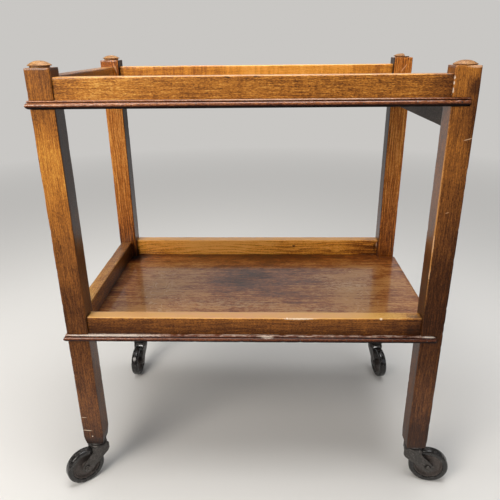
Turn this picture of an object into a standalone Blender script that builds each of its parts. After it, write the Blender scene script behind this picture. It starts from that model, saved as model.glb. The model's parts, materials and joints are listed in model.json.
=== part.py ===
"""Two-tier wooden tea trolley on four swivel castors.

Lengths are in metres. X runs along the trays, open end at +X. Front is -Y. The floor is at Z = 0.
"""
import math

import bmesh
import bpy
from mathutils import Matrix, Vector

# Posts, with the spans taken over their outer faces
SPAN_X = 0.620
SPAN_Y = 0.387
POST_SIDE = 0.0355
POST_TOP = 0.732
POST_TOP_WORN = {"front_left": 0.0, "front_right": 0.0020, "back_left": 0.0, "back_right": 0.0}
POST_FOOT = 0.080
POST_EASING = 0.0015
EASING_STEPS = 2
FOOT_TAPER_RISE = 0.018
FOOT_TAPER = {"front_left": 0.0026, "front_right": 0.0008, "back_left": 0.0008, "back_right": 0.0008}

# Which side of the middle each corner lies on
CORNER_SIDES = {"front_left": (-1, -1), "front_right": (1, -1), "back_left": (-1, 1), "back_right": (1, 1)}

# Clearances and the overrun of every cut
GAP = 0.0003
OVERRUN = 0.003
WELD = 0.000002
MITRE_SLACK = GAP / math.sqrt(2)

# Turned caps on the posts, each risen by its own amount, the front left one set off centre
CAP_RADIUS = 0.0165
CAP_DOME = {"front_left": 0.0068, "front_right": 0.0062, "back_left": 0.0062, "back_right": 0.0052}
CAP_EDGE = 0.0010
CAP_NECK_RADIUS = 0.0140
CAP_SPIGOT_RADIUS = 0.0050
CAP_SPIGOT_LENGTH = 0.0090
CAP_RISE = {"front_left": 0.0092, "front_right": 0.0068, "back_left": 0.0092, "back_right": 0.0072}
CAP_SHIFT = {"front_left": -0.0018, "front_right": 0.0, "back_left": 0.0, "back_right": 0.0}
CAP_RING_SHARES = (0.0, 0.30, 0.55, 0.75, 0.90)

# Trays: a panel under three rails, and a member under the panel at the open end
PANEL_DROP = {"top": 0.0472, "lower": 0.4230}
END_DEPTH = {"top": 0.0350, "lower": 0.0200}
END_NAME = {"top": "apron", "lower": "batten"}
PANEL_THICK = 0.0080
PANEL_OVERHANG = 0.0025
RAIL_HEIGHT = 0.0350
RAIL_THICK = 0.0220
RAIL_RECESS = 0.0035
RAIL_EASING = 0.0020
TENON_LENGTH = 0.0120
TENON_THICK = 0.0100
TENON_SHOULDER = 0.0040

# Half-round beads let into the posts, a little deeper than they are high
BEAD_DEPTH = 0.0085
BEAD_HALF = 0.0060
BEAD_DROP = 0.0016
BEAD_STOP = 0.0100
BEAD_STEPS = 8

# Countersunk screws up through the panel, as shares of the half spans
SCREW_LENGTH = 0.0220
SCREW_RADIUS = 0.0018
SCREW_HEAD_RADIUS = 0.0036
SCREW_HEAD_HEIGHT = 0.0022
SCREW_TIP = 0.0030
SCREW_LONG_SHARES = (-0.60, 0.60)
SCREW_END_SHARES = (-0.50, 0.50)

# Castors: the way each wheel trails, in degrees from +X
TRAIL_DEGREES = {"front_left": -139.4, "front_right": -11.9, "back_left": -93.6, "back_right": -80.5}
TRAIL = 0.0297
TYRE_RADIUS = 0.0347
TYRE_WIDTH = 0.0150
TYRE_INNER_RADIUS = 0.0257
TYRE_SHOULDER = 0.0034
TYRE_ROUND_SHARE = 0.3
TYRE_LIP = 0.0010
RIM_WIDTH = 0.0120
RIM_THICK = 0.0026
WEB_HUB_HALF = 0.0030
WEB_RIM_HALF = 0.0016
HUB_RADIUS = 0.0075
AXLE_RADIUS = 0.0034
AXLE_CLEARANCE = 0.0001
AXLE_HEAD_RADIUS = 0.0056
AXLE_HEAD_HEIGHT = 0.0024
AXLE_HEAD_TOP_RADIUS = 0.0040

# Horn: a round pressed crown with two cheeks
SHEET = 0.0022
CROWN_RADIUS = 0.0160
CROWN_TOP = 0.0740
CROWN_ROUND = 0.0020
CROWN_SKIRT = 0.0630
CHEEK_FACE = 0.0094
CHEEK_TOP_HALF = 0.0106
CHEEK_HALF = 0.0160
CHEEK_SHOULDER = 0.0145
CHEEK_TOP_DROP = 0.0012
CHEEK_SHOULDER_DROP = 0.0045
CHEEK_UPPER_DROP = 0.0080
CHEEK_FRONT_DROP = 0.0130
CHEEK_BACK_DROP = 0.0160
CHEEK_HEEL_DROP = 0.0220
CHEEK_HEEL_HALF = 0.0130
EYE_RADIUS = 0.0100
EYE_FROM_DEGREES = 47.0
EYE_TO_DEGREES = -125.0
EYE_STEPS = 8
WHEEL_ROOM = 0.0025
WHEEL_SIDE_ROOM = 0.0012

# Stem: shank in the post, flange under the foot and a riveted pintle through the crown
SHANK_RADIUS = 0.0045
SHANK_LENGTH = 0.0380
SHANK_TIP = 0.0030
SHANK_TIP_RADIUS = 0.0025
FLANGE_RADIUS = 0.0155
FLANGE_THICK = 0.0032
FLANGE_EDGE = 0.0006
PINTLE_RADIUS = 0.0040
PINTLE_CLEARANCE = 0.0001
RIVET_RADIUS = 0.0070
RIVET_HEIGHT = 0.0016
RIVET_LOWER_RADIUS = 0.0050
WASHER_RADIUS = 0.0105

# Facets round each kind of turned piece
TYRE_FACETS = 28
CAP_FACETS = 24
STEM_FACETS = 20
AXLE_FACETS = 16
SCREW_FACETS = 8

# Places worked out from the sizes above
PANEL_TOP = {level: POST_TOP - drop for level, drop in PANEL_DROP.items()}
HALF_X = SPAN_X / 2
HALF_Y = SPAN_Y / 2
INNER_X = HALF_X - POST_SIDE
INNER_Y = HALF_Y - POST_SIDE
AXIS_X = HALF_X - POST_SIDE / 2
AXIS_Y = HALF_Y - POST_SIDE / 2
RAIL_X = HALF_X - RAIL_RECESS
RAIL_Y = HALF_Y - RAIL_RECESS
BEAD_X = RAIL_X + GAP
BEAD_Y = RAIL_Y + GAP
FLANGE_TOP = POST_FOOT - GAP
FLANGE_BOTTOM = FLANGE_TOP - FLANGE_THICK
CROWN_UNDER = CROWN_TOP - SHEET
CHEEK_OUT = CHEEK_FACE + SHEET
HUB_HALF = CHEEK_FACE - GAP
AXLE_SEAT = CHEEK_OUT + GAP

# Materials: colour, roughness, metallic
FINISHES = {
    "post_wood": ((0.150, 0.065, 0.035), 0.42, 0.0),
    "rail_wood": ((0.360, 0.165, 0.070), 0.38, 0.0),
    "panel_wood": ((0.230, 0.085, 0.040), 0.30, 0.0),
    "bead_wood": ((0.190, 0.070, 0.035), 0.36, 0.0),
    "cap_wood": ((0.300, 0.180, 0.110), 0.45, 0.0),
    "screw_steel": ((0.420, 0.400, 0.370), 0.40, 1.0),
    "castor_steel": ((0.045, 0.045, 0.048), 0.45, 0.6),
    "wheel_disc": ((0.070, 0.045, 0.038), 0.50, 0.3),
    "tyre_rubber": ((0.020, 0.020, 0.021), 0.30, 0.0),
}


def collection(name):
    made = bpy.data.collections.new(name)
    bpy.context.scene.collection.children.link(made)
    return made


def clear():
    for obj in list(bpy.data.objects):
        bpy.data.objects.remove(obj, do_unlink=True)


def finish(slot, name):
    colour, roughness, metallic = FINISHES[slot]
    made = bpy.data.materials.new(name)
    made.use_nodes = True
    shader = made.node_tree.nodes["Principled BSDF"]
    shader.inputs["Base Color"].default_value = (*colour, 1.0)
    shader.inputs["Roughness"].default_value = roughness
    shader.inputs["Metallic"].default_value = metallic
    return made


clear()
PIECES = collection("tea_trolley")
CUTTERS = collection("cutters")


def empty(name, location, parent=None, turn=0.0):
    made = bpy.data.objects.new(name, None)
    made.location = location
    made.rotation_euler = (0.0, 0.0, turn)
    made.parent = parent
    PIECES.objects.link(made)
    return made


ROOT = empty("trolley", (0.0, 0.0, 0.0))


def place(name, mesh, location, slot=None, parent=ROOT, turn=(0.0, 0.0, 0.0)):
    """Put a mesh in the scene: a piece when it has a finish slot, otherwise a cutter."""
    made = bpy.data.objects.new(name, mesh)
    made.location = location
    made.rotation_euler = turn
    made.parent = parent
    if slot is None:
        made.hide_render = True
        made.display_type = "WIRE"
        CUTTERS.objects.link(made)
    else:
        mesh.materials.append(finish(slot, name))
        PIECES.objects.link(made)
    return made


def meshed(name, bm):
    mesh = bpy.data.meshes.new(name)
    bm.to_mesh(mesh)
    bm.free()
    return mesh


def combine(target, other, operation):
    step = target.modifiers.new(f"{operation.lower()}_{other.name}", "BOOLEAN")
    step.operation = operation
    step.solver = "EXACT"
    step.object = other


def cut(targets, cutter):
    for target in targets:
        combine(target, cutter, "DIFFERENCE")


def block_mesh(size):
    bm = bmesh.new()
    bmesh.ops.create_cube(bm, size=1.0, matrix=Matrix.Diagonal((*size, 1.0)))
    return bm


def block(name, low, high, slot=None):
    low, high = Vector(low), Vector(high)
    return place(name, meshed(name, block_mesh(high - low)), (low + high) / 2, slot)


def grown(low, high, by):
    pad = Vector((by, by, by))
    return Vector(low) - pad, Vector(high) + pad


def weigh(bm, chosen):
    """Mark the edges that a weighted bevel rounds, picked by their two ends."""
    layer = bm.edges.layers.float.new("bevel_weight_edge")
    for edge in bm.edges:
        if chosen(*(vertex.co for vertex in edge.verts)):
            edge[layer] = 1.0


def ease(piece, width):
    step = piece.modifiers.new("ease", "BEVEL")
    step.limit_method = "WEIGHT"
    step.width = width
    step.segments = EASING_STEPS


def turned(name, profile, facets, location, slot=None, closed=False, half_step=False, **placing):
    """Turn a profile of (radius, height) points, outer side first and downwards, about Z."""
    start = math.pi / facets if half_step else 0.0
    points = [(radius * math.cos(start), radius * math.sin(start), height) for radius, height in profile]
    edges = [(index, index + 1) for index in range(len(points) - 1)]
    if closed:
        edges.append((len(points) - 1, 0))
    mesh = bpy.data.meshes.new(name)
    mesh.from_pydata(points, edges, [])
    made = place(name, mesh, location, slot, **placing)
    step = made.modifiers.new("turn", "SCREW")
    step.axis = "Z"
    step.steps = step.render_steps = facets
    step.use_smooth_shade = True
    step.use_merge_vertices = True
    step.merge_threshold = WELD
    return made


def extruded_mesh(outline, half):
    """Fill a flat outline and give it thickness to both sides of the XY plane."""
    flat = bpy.data.curves.new("outline", "CURVE")
    flat.dimensions = "2D"
    flat.fill_mode = "BOTH"
    flat.extrude = half
    spline = flat.splines.new("POLY")
    spline.points.add(len(outline) - 1)
    for point, (x, y) in zip(spline.points, outline):
        point.co = (x, y, 0.0, 1.0)
    spline.use_cyclic_u = True
    guide = bpy.data.objects.new("outline", flat)
    CUTTERS.objects.link(guide)
    solid = bpy.data.meshes.new_from_object(guide.evaluated_get(bpy.context.evaluated_depsgraph_get()))
    bm = bmesh.new()
    bm.from_mesh(solid)
    bmesh.ops.remove_doubles(bm, verts=bm.verts, dist=WELD)
    bmesh.ops.recalc_face_normals(bm, faces=bm.faces)
    bpy.data.objects.remove(guide, do_unlink=True)
    bpy.data.curves.remove(flat)
    bpy.data.meshes.remove(solid)
    return bm


def rod(name, radius, low, high, facets, location, **placing):
    profile = [(0.0, high), (radius, high), (radius, low), (0.0, low)]
    return turned(name, profile, facets, location, **placing)


def post(corner):
    side_x, side_y = CORNER_SIDES[corner]
    top = POST_TOP - POST_TOP_WORN[corner]
    height = top - POST_FOOT
    bm = block_mesh((POST_SIDE, POST_SIDE, height))
    shoulder = FOOT_TAPER_RISE - height / 2
    bmesh.ops.bisect_plane(bm, geom=bm.verts[:] + bm.edges[:] + bm.faces[:],
                           plane_co=(0.0, 0.0, shoulder), plane_no=(0.0, 0.0, 1.0))
    inward = 1 - 2 * FOOT_TAPER[corner] / POST_SIDE
    for vertex in bm.verts:
        if vertex.co.z < shoulder - GAP:
            vertex.co.x *= inward
            vertex.co.y *= inward
    weigh(bm, lambda a, b: abs(a.z - b.z) > GAP or min(a.z, b.z) > 0.0)
    name = f"post_{corner}"
    middle = (side_x * AXIS_X, side_y * AXIS_Y, (top + POST_FOOT) / 2)
    made = place(name, meshed(name, bm), middle, "post_wood")
    ease(made, POST_EASING)
    return made


def cap(corner, post_piece):
    side_x, side_y = CORNER_SIDES[corner]
    spot = (side_x * AXIS_X + CAP_SHIFT[corner], side_y * AXIS_Y, POST_TOP - POST_TOP_WORN[corner])
    rise = CAP_RISE[corner]
    rim = rise - CAP_DOME[corner]
    edge = rim + CAP_EDGE
    dome = [(CAP_RADIUS * share, edge + (rise - edge) * (1 - share ** 2)) for share in CAP_RING_SHARES]
    profile = dome + [(CAP_RADIUS, edge), (CAP_RADIUS, rim), (CAP_NECK_RADIUS, rim), (CAP_NECK_RADIUS, GAP),
                      (CAP_SPIGOT_RADIUS, GAP), (CAP_SPIGOT_RADIUS, -CAP_SPIGOT_LENGTH),
                      (0.0, -CAP_SPIGOT_LENGTH)]
    turned(f"cap_{corner}", profile, CAP_FACETS, spot, "cap_wood")
    cut([post_piece], rod(f"cap_bore_{corner}", CAP_SPIGOT_RADIUS + GAP, -CAP_SPIGOT_LENGTH - GAP,
                          OVERRUN, CAP_FACETS, spot))


def eased_rail(name, low, high):
    """A rail with its two long top edges rounded."""
    low, high = Vector(low), Vector(high)
    size = high - low
    bm = block_mesh(size)
    long_way = 0 if size.x > size.y else 1
    weigh(bm, lambda a, b: min(a.z, b.z) > 0.0 and abs(a[long_way] - b[long_way]) > GAP)
    made = place(name, meshed(name, bm), (low + high) / 2, "rail_wood")
    ease(made, RAIL_EASING)
    return made


def tenoned(rail, low, high, posts):
    """Give a rail a tenon at each end and mortise the posts for it."""
    combine(rail, block(f"tenon_{rail.name}", low, high), "UNION")
    cut(posts, block(f"mortise_{rail.name}", *grown(low, high, GAP)))


def long_rail(name, side, base, posts):
    """The front rail at side -1, the back rail at side 1."""
    faces = sorted((side * RAIL_Y, side * (RAIL_Y - RAIL_THICK)))
    low = (-INNER_X + GAP, faces[0], base)
    high = (INNER_X - GAP, faces[1], base + RAIL_HEIGHT - GAP)
    rail = eased_rail(name, low, high)
    middle = sum(faces) / 2
    tenoned(rail, (-INNER_X - TENON_LENGTH, middle - TENON_THICK / 2, low[2] + TENON_SHOULDER),
            (INNER_X + TENON_LENGTH, middle + TENON_THICK / 2, high[2] - TENON_SHOULDER), posts)
    return rail


def end_rail(name, side, base, top, posts, make):
    """The member between the posts at one end of a tray."""
    faces = sorted((side * RAIL_X, side * (RAIL_X - RAIL_THICK)))
    low = (faces[0], -INNER_Y + GAP, base)
    high = (faces[1], INNER_Y - GAP, top)
    rail = make(name, low, high)
    middle = sum(faces) / 2
    tenoned(rail, (middle - TENON_THICK / 2, -INNER_Y - TENON_LENGTH, low[2] + TENON_SHOULDER),
            (middle + TENON_THICK / 2, INNER_Y + TENON_LENGTH, high[2] - TENON_SHOULDER), posts)
    return rail


def square_rail(name, low, high):
    return block(name, low, high, "rail_wood")


def panel(level):
    low = (-RAIL_X, -RAIL_Y, PANEL_TOP[level] - PANEL_THICK)
    high = (HALF_X + PANEL_OVERHANG, RAIL_Y, PANEL_TOP[level])
    sheet = block(f"{level}_panel", low, high, "panel_wood")
    for corner, (side_x, side_y) in CORNER_SIDES.items():
        across = sorted((side_x * (INNER_X - GAP), side_x * (HALF_X + PANEL_OVERHANG + OVERRUN)))
        along = sorted((side_y * (INNER_Y - GAP), side_y * (HALF_Y + OVERRUN)))
        cut([sheet], block(f"{level}_notch_{corner}", (across[0], along[0], low[2] - OVERRUN),
                           (across[1], along[1], high[2] + OVERRUN)))
    return sheet


def bead(name, location, turn, low, high, mitres):
    """A half-round along Y, flat back in the YZ plane, mitred at the ends asked for."""
    arc = [math.pi * step / BEAD_STEPS for step in range(BEAD_STEPS + 1)]
    outline = [(-BEAD_DEPTH * math.sin(angle), BEAD_HALF * math.cos(angle)) for angle in arc]
    bm = extruded_mesh(outline, (high - low) / 2)
    bmesh.ops.rotate(bm, verts=bm.verts, matrix=Matrix.Rotation(math.pi / 2, 3, "X"))
    bmesh.ops.translate(bm, verts=bm.verts, vec=(0.0, (low + high) / 2, 0.0))
    middle = (low + high) / 2
    for vertex in bm.verts:
        if vertex.co.y < middle:
            vertex.co.y += mitres[0] * vertex.co.x
        else:
            vertex.co.y -= mitres[1] * vertex.co.x
    return place(name, meshed(name, bm), location, "bead_wood", turn=(0.0, 0.0, turn))


def beads(level, posts):
    height = PANEL_TOP[level] - BEAD_DROP
    corner = BEAD_X - MITRE_SLACK
    stop = HALF_X - BEAD_STOP
    quarter = math.pi / 2
    bead(f"{level}_bead_front", (0.0, -BEAD_Y, height), quarter, -stop, corner, (0, 1))
    bead(f"{level}_bead_back", (0.0, BEAD_Y, height), -quarter, -corner, stop, (1, 0))
    bead(f"{level}_bead_left", (-BEAD_X, 0.0, height), 0.0,
         -BEAD_Y + MITRE_SLACK, BEAD_Y - MITRE_SLACK, (1, 1))
    low, high = height - BEAD_HALF - GAP, height + BEAD_HALF + GAP
    outer_x, outer_y = HALF_X + OVERRUN, HALF_Y + OVERRUN
    cut([posts["front_left"], posts["front_right"]],
        block(f"{level}_groove_front", (-outer_x, -outer_y, low), (stop + GAP, -RAIL_Y, high)))
    cut([posts["back_left"], posts["back_right"]],
        block(f"{level}_groove_back", (-outer_x, RAIL_Y, low), (stop + GAP, outer_y, high)))
    cut([posts["front_left"], posts["back_left"]],
        block(f"{level}_groove_left", (-outer_x, -outer_y, low), (-RAIL_X, outer_y, high)))


def screw(name, location, sheet, rail):
    """A countersunk screw up through the panel into a rail, with its hole."""
    lower = [(SCREW_RADIUS, SCREW_HEAD_HEIGHT), (SCREW_HEAD_RADIUS, 0.0), (0.0, 0.0)]
    upper = [(0.0, SCREW_LENGTH), (SCREW_RADIUS, SCREW_LENGTH - SCREW_TIP)]
    turned(name, upper + lower, SCREW_FACETS, location, "screw_steel")
    hole = [(radius + GAP if radius else 0.0, height + GAP) for radius, height in upper]
    hole += [(SCREW_RADIUS + GAP, SCREW_HEAD_HEIGHT), (SCREW_HEAD_RADIUS + GAP, 0.0),
             (SCREW_HEAD_RADIUS + GAP, -OVERRUN), (0.0, -OVERRUN)]
    cut([sheet, rail], turned(f"{name}_hole", hole, SCREW_FACETS, location))


def panel_screws(level, sheet, front, back, left):
    base = PANEL_TOP[level] - PANEL_THICK + GAP
    line_y = RAIL_Y - RAIL_THICK / 2
    line_x = RAIL_X - RAIL_THICK / 2
    for count, share in enumerate(SCREW_LONG_SHARES, 1):
        screw(f"{level}_screw_front_{count}", (share * HALF_X, -line_y, base), sheet, front)
        screw(f"{level}_screw_back_{count}", (share * HALF_X, line_y, base), sheet, back)
    for count, share in enumerate(SCREW_END_SHARES, 1):
        screw(f"{level}_screw_left_{count}", (-line_x, share * HALF_Y, base), sheet, left)


def tray(level, posts):
    base = PANEL_TOP[level] + GAP
    sheet = panel(level)
    front = long_rail(f"{level}_rail_front", -1, base, [posts["front_left"], posts["front_right"]])
    back = long_rail(f"{level}_rail_back", 1, base, [posts["back_left"], posts["back_right"]])
    left = end_rail(f"{level}_rail_left", -1, base, base + RAIL_HEIGHT - GAP,
                    [posts["front_left"], posts["back_left"]], eased_rail)
    under = PANEL_TOP[level] - PANEL_THICK - GAP
    end_rail(f"{level}_{END_NAME[level]}_right", 1, under - END_DEPTH[level] + GAP, under,
             [posts["front_right"], posts["back_right"]], square_rail)
    panel_screws(level, sheet, front, back, left)
    beads(level, posts)


def stem(corner, axis, post_piece):
    name = f"castor_{corner}_stem"
    tip = POST_FOOT + SHANK_LENGTH
    rivet = CROWN_UNDER - GAP
    profile = [(0.0, tip), (SHANK_TIP_RADIUS, tip), (SHANK_RADIUS, tip - SHANK_TIP),
               (SHANK_RADIUS, FLANGE_TOP), (FLANGE_RADIUS - FLANGE_EDGE, FLANGE_TOP),
               (FLANGE_RADIUS, FLANGE_TOP - FLANGE_EDGE), (FLANGE_RADIUS, FLANGE_BOTTOM + FLANGE_EDGE),
               (FLANGE_RADIUS - FLANGE_EDGE, FLANGE_BOTTOM), (PINTLE_RADIUS, FLANGE_BOTTOM),
               (PINTLE_RADIUS, rivet), (RIVET_RADIUS, rivet),
               (RIVET_LOWER_RADIUS, rivet - RIVET_HEIGHT), (0.0, rivet - RIVET_HEIGHT)]
    turned(name, profile, STEM_FACETS, axis, "castor_steel")
    cut([post_piece], rod(f"{name}_bore", SHANK_RADIUS + GAP, POST_FOOT - OVERRUN, tip + GAP,
                          STEM_FACETS, axis))
    inner = PINTLE_RADIUS + GAP
    ring = [(WASHER_RADIUS, FLANGE_BOTTOM - GAP), (WASHER_RADIUS, CROWN_TOP + GAP),
            (inner, CROWN_TOP + GAP), (inner, FLANGE_BOTTOM - GAP)]
    turned(f"castor_{corner}_washer", ring, STEM_FACETS, axis, "castor_steel", closed=True)


def cheek_outline():
    eye = [math.radians(EYE_FROM_DEGREES + (EYE_TO_DEGREES - EYE_FROM_DEGREES) * step / EYE_STEPS)
           for step in range(EYE_STEPS + 1)]
    return [(-CHEEK_TOP_HALF, CROWN_TOP - CHEEK_TOP_DROP), (CHEEK_TOP_HALF, CROWN_TOP - CHEEK_TOP_DROP),
            (CHEEK_SHOULDER, CROWN_TOP - CHEEK_SHOULDER_DROP), (CHEEK_HALF, CROWN_TOP - CHEEK_UPPER_DROP),
            (CHEEK_HALF, CROWN_TOP - CHEEK_FRONT_DROP),
            *[(TRAIL + EYE_RADIUS * math.cos(a), TYRE_RADIUS + EYE_RADIUS * math.sin(a)) for a in eye],
            (-CHEEK_HEEL_HALF, CROWN_TOP - CHEEK_HEEL_DROP), (-CHEEK_HALF, CROWN_TOP - CHEEK_BACK_DROP),
            (-CHEEK_HALF, CROWN_TOP - CHEEK_UPPER_DROP), (-CHEEK_SHOULDER, CROWN_TOP - CHEEK_SHOULDER_DROP)]


def horn(corner, swivel, upright):
    name = f"castor_{corner}_horn"
    hole = PINTLE_RADIUS + PINTLE_CLEARANCE
    crown = [(hole, CROWN_TOP), (CROWN_RADIUS - CROWN_ROUND, CROWN_TOP),
             (CROWN_RADIUS, CROWN_TOP - CROWN_ROUND), (CROWN_RADIUS, CROWN_SKIRT),
             (CROWN_RADIUS - SHEET, CROWN_SKIRT), (CROWN_RADIUS - SHEET, CROWN_UNDER),
             (hole, CROWN_UNDER)]
    piece = turned(name, crown, STEM_FACETS, (0.0, 0.0, 0.0), "castor_steel", closed=True,
                   parent=swivel)
    for side, word in ((-1, "near"), (1, "far")):
        cheek = f"{name}_cheek_{word}"
        combine(piece, place(cheek, meshed(cheek, extruded_mesh(cheek_outline(), SHEET / 2)),
                             (0.0, side * (CHEEK_FACE + SHEET / 2), 0.0), parent=swivel, turn=upright),
                "UNION")
    hub = {"location": (TRAIL, 0.0, TYRE_RADIUS), "parent": swivel, "turn": upright}
    room = TYRE_WIDTH / 2 + WHEEL_SIDE_ROOM
    cut([piece], rod(f"{name}_room", TYRE_RADIUS + WHEEL_ROOM, -room, room, TYRE_FACETS, **hub))
    cut([piece], rod(f"{name}_bore", AXLE_RADIUS + AXLE_CLEARANCE, -CHEEK_OUT - OVERRUN,
                     CHEEK_OUT + OVERRUN, AXLE_FACETS, **hub))


def axle(corner, swivel, upright):
    end = AXLE_SEAT + AXLE_HEAD_HEIGHT
    edge = (AXLE_SEAT + end) / 2
    half = [(0.0, end), (AXLE_HEAD_TOP_RADIUS, end), (AXLE_HEAD_RADIUS, edge),
            (AXLE_HEAD_RADIUS, AXLE_SEAT), (AXLE_RADIUS, AXLE_SEAT)]
    profile = half + [(radius, -height) for radius, height in reversed(half)]
    turned(f"castor_{corner}_axle", profile, AXLE_FACETS, (TRAIL, 0.0, TYRE_RADIUS), "castor_steel",
           parent=swivel, turn=upright)


def wheel(corner, spin, upright):
    bore = AXLE_RADIUS + AXLE_CLEARANCE
    outer = TYRE_INNER_RADIUS - GAP
    half = [(bore, HUB_HALF), (HUB_RADIUS, HUB_HALF), (HUB_RADIUS, WEB_HUB_HALF),
            (outer - RIM_THICK, WEB_RIM_HALF), (outer - RIM_THICK, RIM_WIDTH / 2), (outer, RIM_WIDTH / 2)]
    profile = half + [(radius, -height) for radius, height in reversed(half)]
    turned(f"castor_{corner}_wheel", to_flats(profile), TYRE_FACETS, (0.0, 0.0, 0.0), "wheel_disc",
           closed=True, half_step=True, parent=spin, turn=upright)


def tyre(corner, spin, upright):
    side = TYRE_WIDTH / 2
    half = [(TYRE_INNER_RADIUS, side - TYRE_LIP), (TYRE_INNER_RADIUS + TYRE_LIP, side),
            (TYRE_RADIUS - TYRE_SHOULDER, side),
            (TYRE_RADIUS - TYRE_SHOULDER * TYRE_ROUND_SHARE, side - TYRE_SHOULDER * TYRE_ROUND_SHARE),
            (TYRE_RADIUS, side - TYRE_SHOULDER)]
    profile = half + [(radius, -height) for radius, height in reversed(half)]
    turned(f"castor_{corner}_tyre", to_flats(profile), TYRE_FACETS, (0.0, 0.0, 0.0), "tyre_rubber",
           closed=True, half_step=True, parent=spin, turn=upright)


def to_flats(profile):
    """Radii measured to the middle of each facet, so that a flat stands on the floor."""
    return [(radius / math.cos(math.pi / TYRE_FACETS), height) for radius, height in profile]


def castor(corner, post_piece):
    side_x, side_y = CORNER_SIDES[corner]
    axis = (side_x * AXIS_X, side_y * AXIS_Y, 0.0)
    stem(corner, axis, post_piece)
    swivel = empty(f"castor_{corner}_swivel", axis, ROOT, math.radians(TRAIL_DEGREES[corner]))
    upright = (math.pi / 2, 0.0, 0.0)
    horn(corner, swivel, upright)
    axle(corner, swivel, upright)
    spin = empty(f"castor_{corner}_spin", (TRAIL, 0.0, TYRE_RADIUS), swivel)
    wheel(corner, spin, upright)
    tyre(corner, spin, upright)


def middle_of_base():
    """The floor point under the middle of all pieces."""
    graph = bpy.context.evaluated_depsgraph_get()
    shown = [obj.evaluated_get(graph) for obj in PIECES.objects if obj.type == "MESH"]
    spots = [obj.matrix_world @ vertex.co for obj in shown for vertex in obj.data.vertices]
    lows = [min(spot[axis] for spot in spots) for axis in range(3)]
    highs = [max(spot[axis] for spot in spots) for axis in range(3)]
    return (lows[0] + highs[0]) / 2, (lows[1] + highs[1]) / 2, lows[2]


POSTS = {name: post(name) for name in CORNER_SIDES}
for name, piece in POSTS.items():
    cap(name, piece)
for name in PANEL_TOP:
    tray(name, POSTS)
for name, piece in POSTS.items():
    castor(name, piece)
ROOT.location = [-value for value in middle_of_base()]
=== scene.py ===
"""Two-tier wooden tea trolley: its finished looks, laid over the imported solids.

Lengths are in metres and pattern sizes in millimetres. Colours are sRGB hex values.
"""

import json
import math
import random

import bmesh
import bpy
from mathutils import Matrix, Vector, noise


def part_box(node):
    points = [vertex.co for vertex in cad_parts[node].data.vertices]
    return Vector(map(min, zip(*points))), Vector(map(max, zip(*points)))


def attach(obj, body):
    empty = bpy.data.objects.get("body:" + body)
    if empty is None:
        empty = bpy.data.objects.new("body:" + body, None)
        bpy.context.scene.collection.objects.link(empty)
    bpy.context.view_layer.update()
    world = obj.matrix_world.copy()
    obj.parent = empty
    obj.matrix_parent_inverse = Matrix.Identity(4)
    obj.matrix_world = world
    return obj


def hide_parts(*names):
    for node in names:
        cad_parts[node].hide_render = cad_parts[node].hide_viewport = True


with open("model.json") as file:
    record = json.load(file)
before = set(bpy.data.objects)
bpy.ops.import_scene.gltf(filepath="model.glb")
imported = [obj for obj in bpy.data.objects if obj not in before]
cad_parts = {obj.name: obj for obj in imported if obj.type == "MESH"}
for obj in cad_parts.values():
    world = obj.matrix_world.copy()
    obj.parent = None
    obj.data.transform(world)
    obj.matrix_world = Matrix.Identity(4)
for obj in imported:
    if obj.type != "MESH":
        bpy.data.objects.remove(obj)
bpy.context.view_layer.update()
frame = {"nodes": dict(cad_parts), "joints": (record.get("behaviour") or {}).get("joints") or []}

MM = 1000.0
# the room left between pieces, and how close together two points of a mesh are when they are one
GAP, SAME = 0.0003, 0.000002
CORNERS = ("front_left", "front_right", "back_left", "back_right")
LEVELS = ("top", "lower")


# small helpers

def colour(text):
    """An sRGB hex value as a linear colour."""
    parts = [int(text[at:at + 2], 16) / 255 for at in (1, 3, 5)]
    return (*((v / 12.92 if v <= 0.04045 else ((v + 0.055) / 1.055) ** 2.4) for v in parts), 1.0)


def add(tree, kind, inputs=(), stops=(), **settings):
    """Add one node: its own settings, the stops of its colour ramp, and what its inputs read.

    The inputs come in their order, or in a dict by name or number. Each reads a socket, the first working
    output of another node, a plain value or a hex colour. A kind without a prefix is a shader node.
    """
    node = tree.nodes.new(kind if "Node" in kind else f"ShaderNode{kind}")
    for key, value in settings.items():
        setattr(node, key, value)
    for key, value in inputs.items() if isinstance(inputs, dict) else enumerate(inputs):
        if isinstance(value, bpy.types.Node):
            value = next(socket for socket in value.outputs if socket.enabled)
        if isinstance(value, bpy.types.NodeSocket):
            tree.links.new(value, node.inputs[key])
        elif isinstance(value, str) and value.startswith("#"):
            node.inputs[key].default_value = colour(value)
        else:
            node.inputs[key].default_value = value
    if stops:
        strip = node.color_ramp.elements
        while len(strip) < len(stops):
            strip.new(1.0)
        for element, (at, tint) in zip(strip, stops):
            element.position = at
            element.color = colour(tint)
    return node


def wobble(spot, size, seed=0.0):
    """Smooth noise from -1 to 1 whose bumps are about `size` across."""
    return noise.noise(Vector(spot) / size + Vector((seed * 7.31, seed * 3.17, seed * 5.73)))


def share_of(value, low, high):
    return min(1.0, max(0.0, (value - low) / (high - low)))


def new_object(name, mesh):
    made = bpy.data.objects.new(name, mesh)
    bpy.context.scene.collection.objects.link(made)
    return made


def settle(piece):
    """Turn a piece's modifiers into plain mesh."""
    graph = bpy.context.evaluated_depsgraph_get()
    mesh = bpy.data.meshes.new_from_object(piece.evaluated_get(graph))
    old = piece.data
    piece.modifiers.clear()
    piece.data = mesh
    bpy.data.meshes.remove(old)
    return piece


def block(low, high):
    bm = bmesh.new()
    low, high = Vector(low), Vector(high)
    bmesh.ops.create_cube(bm, size=1.0, matrix=Matrix.Translation((low + high) / 2)
                          @ Matrix.Diagonal((*(high - low), 1.0)))
    mesh = bpy.data.meshes.new("cutter")
    bm.to_mesh(mesh)
    bm.free()
    return new_object("cutter", mesh)


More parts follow.
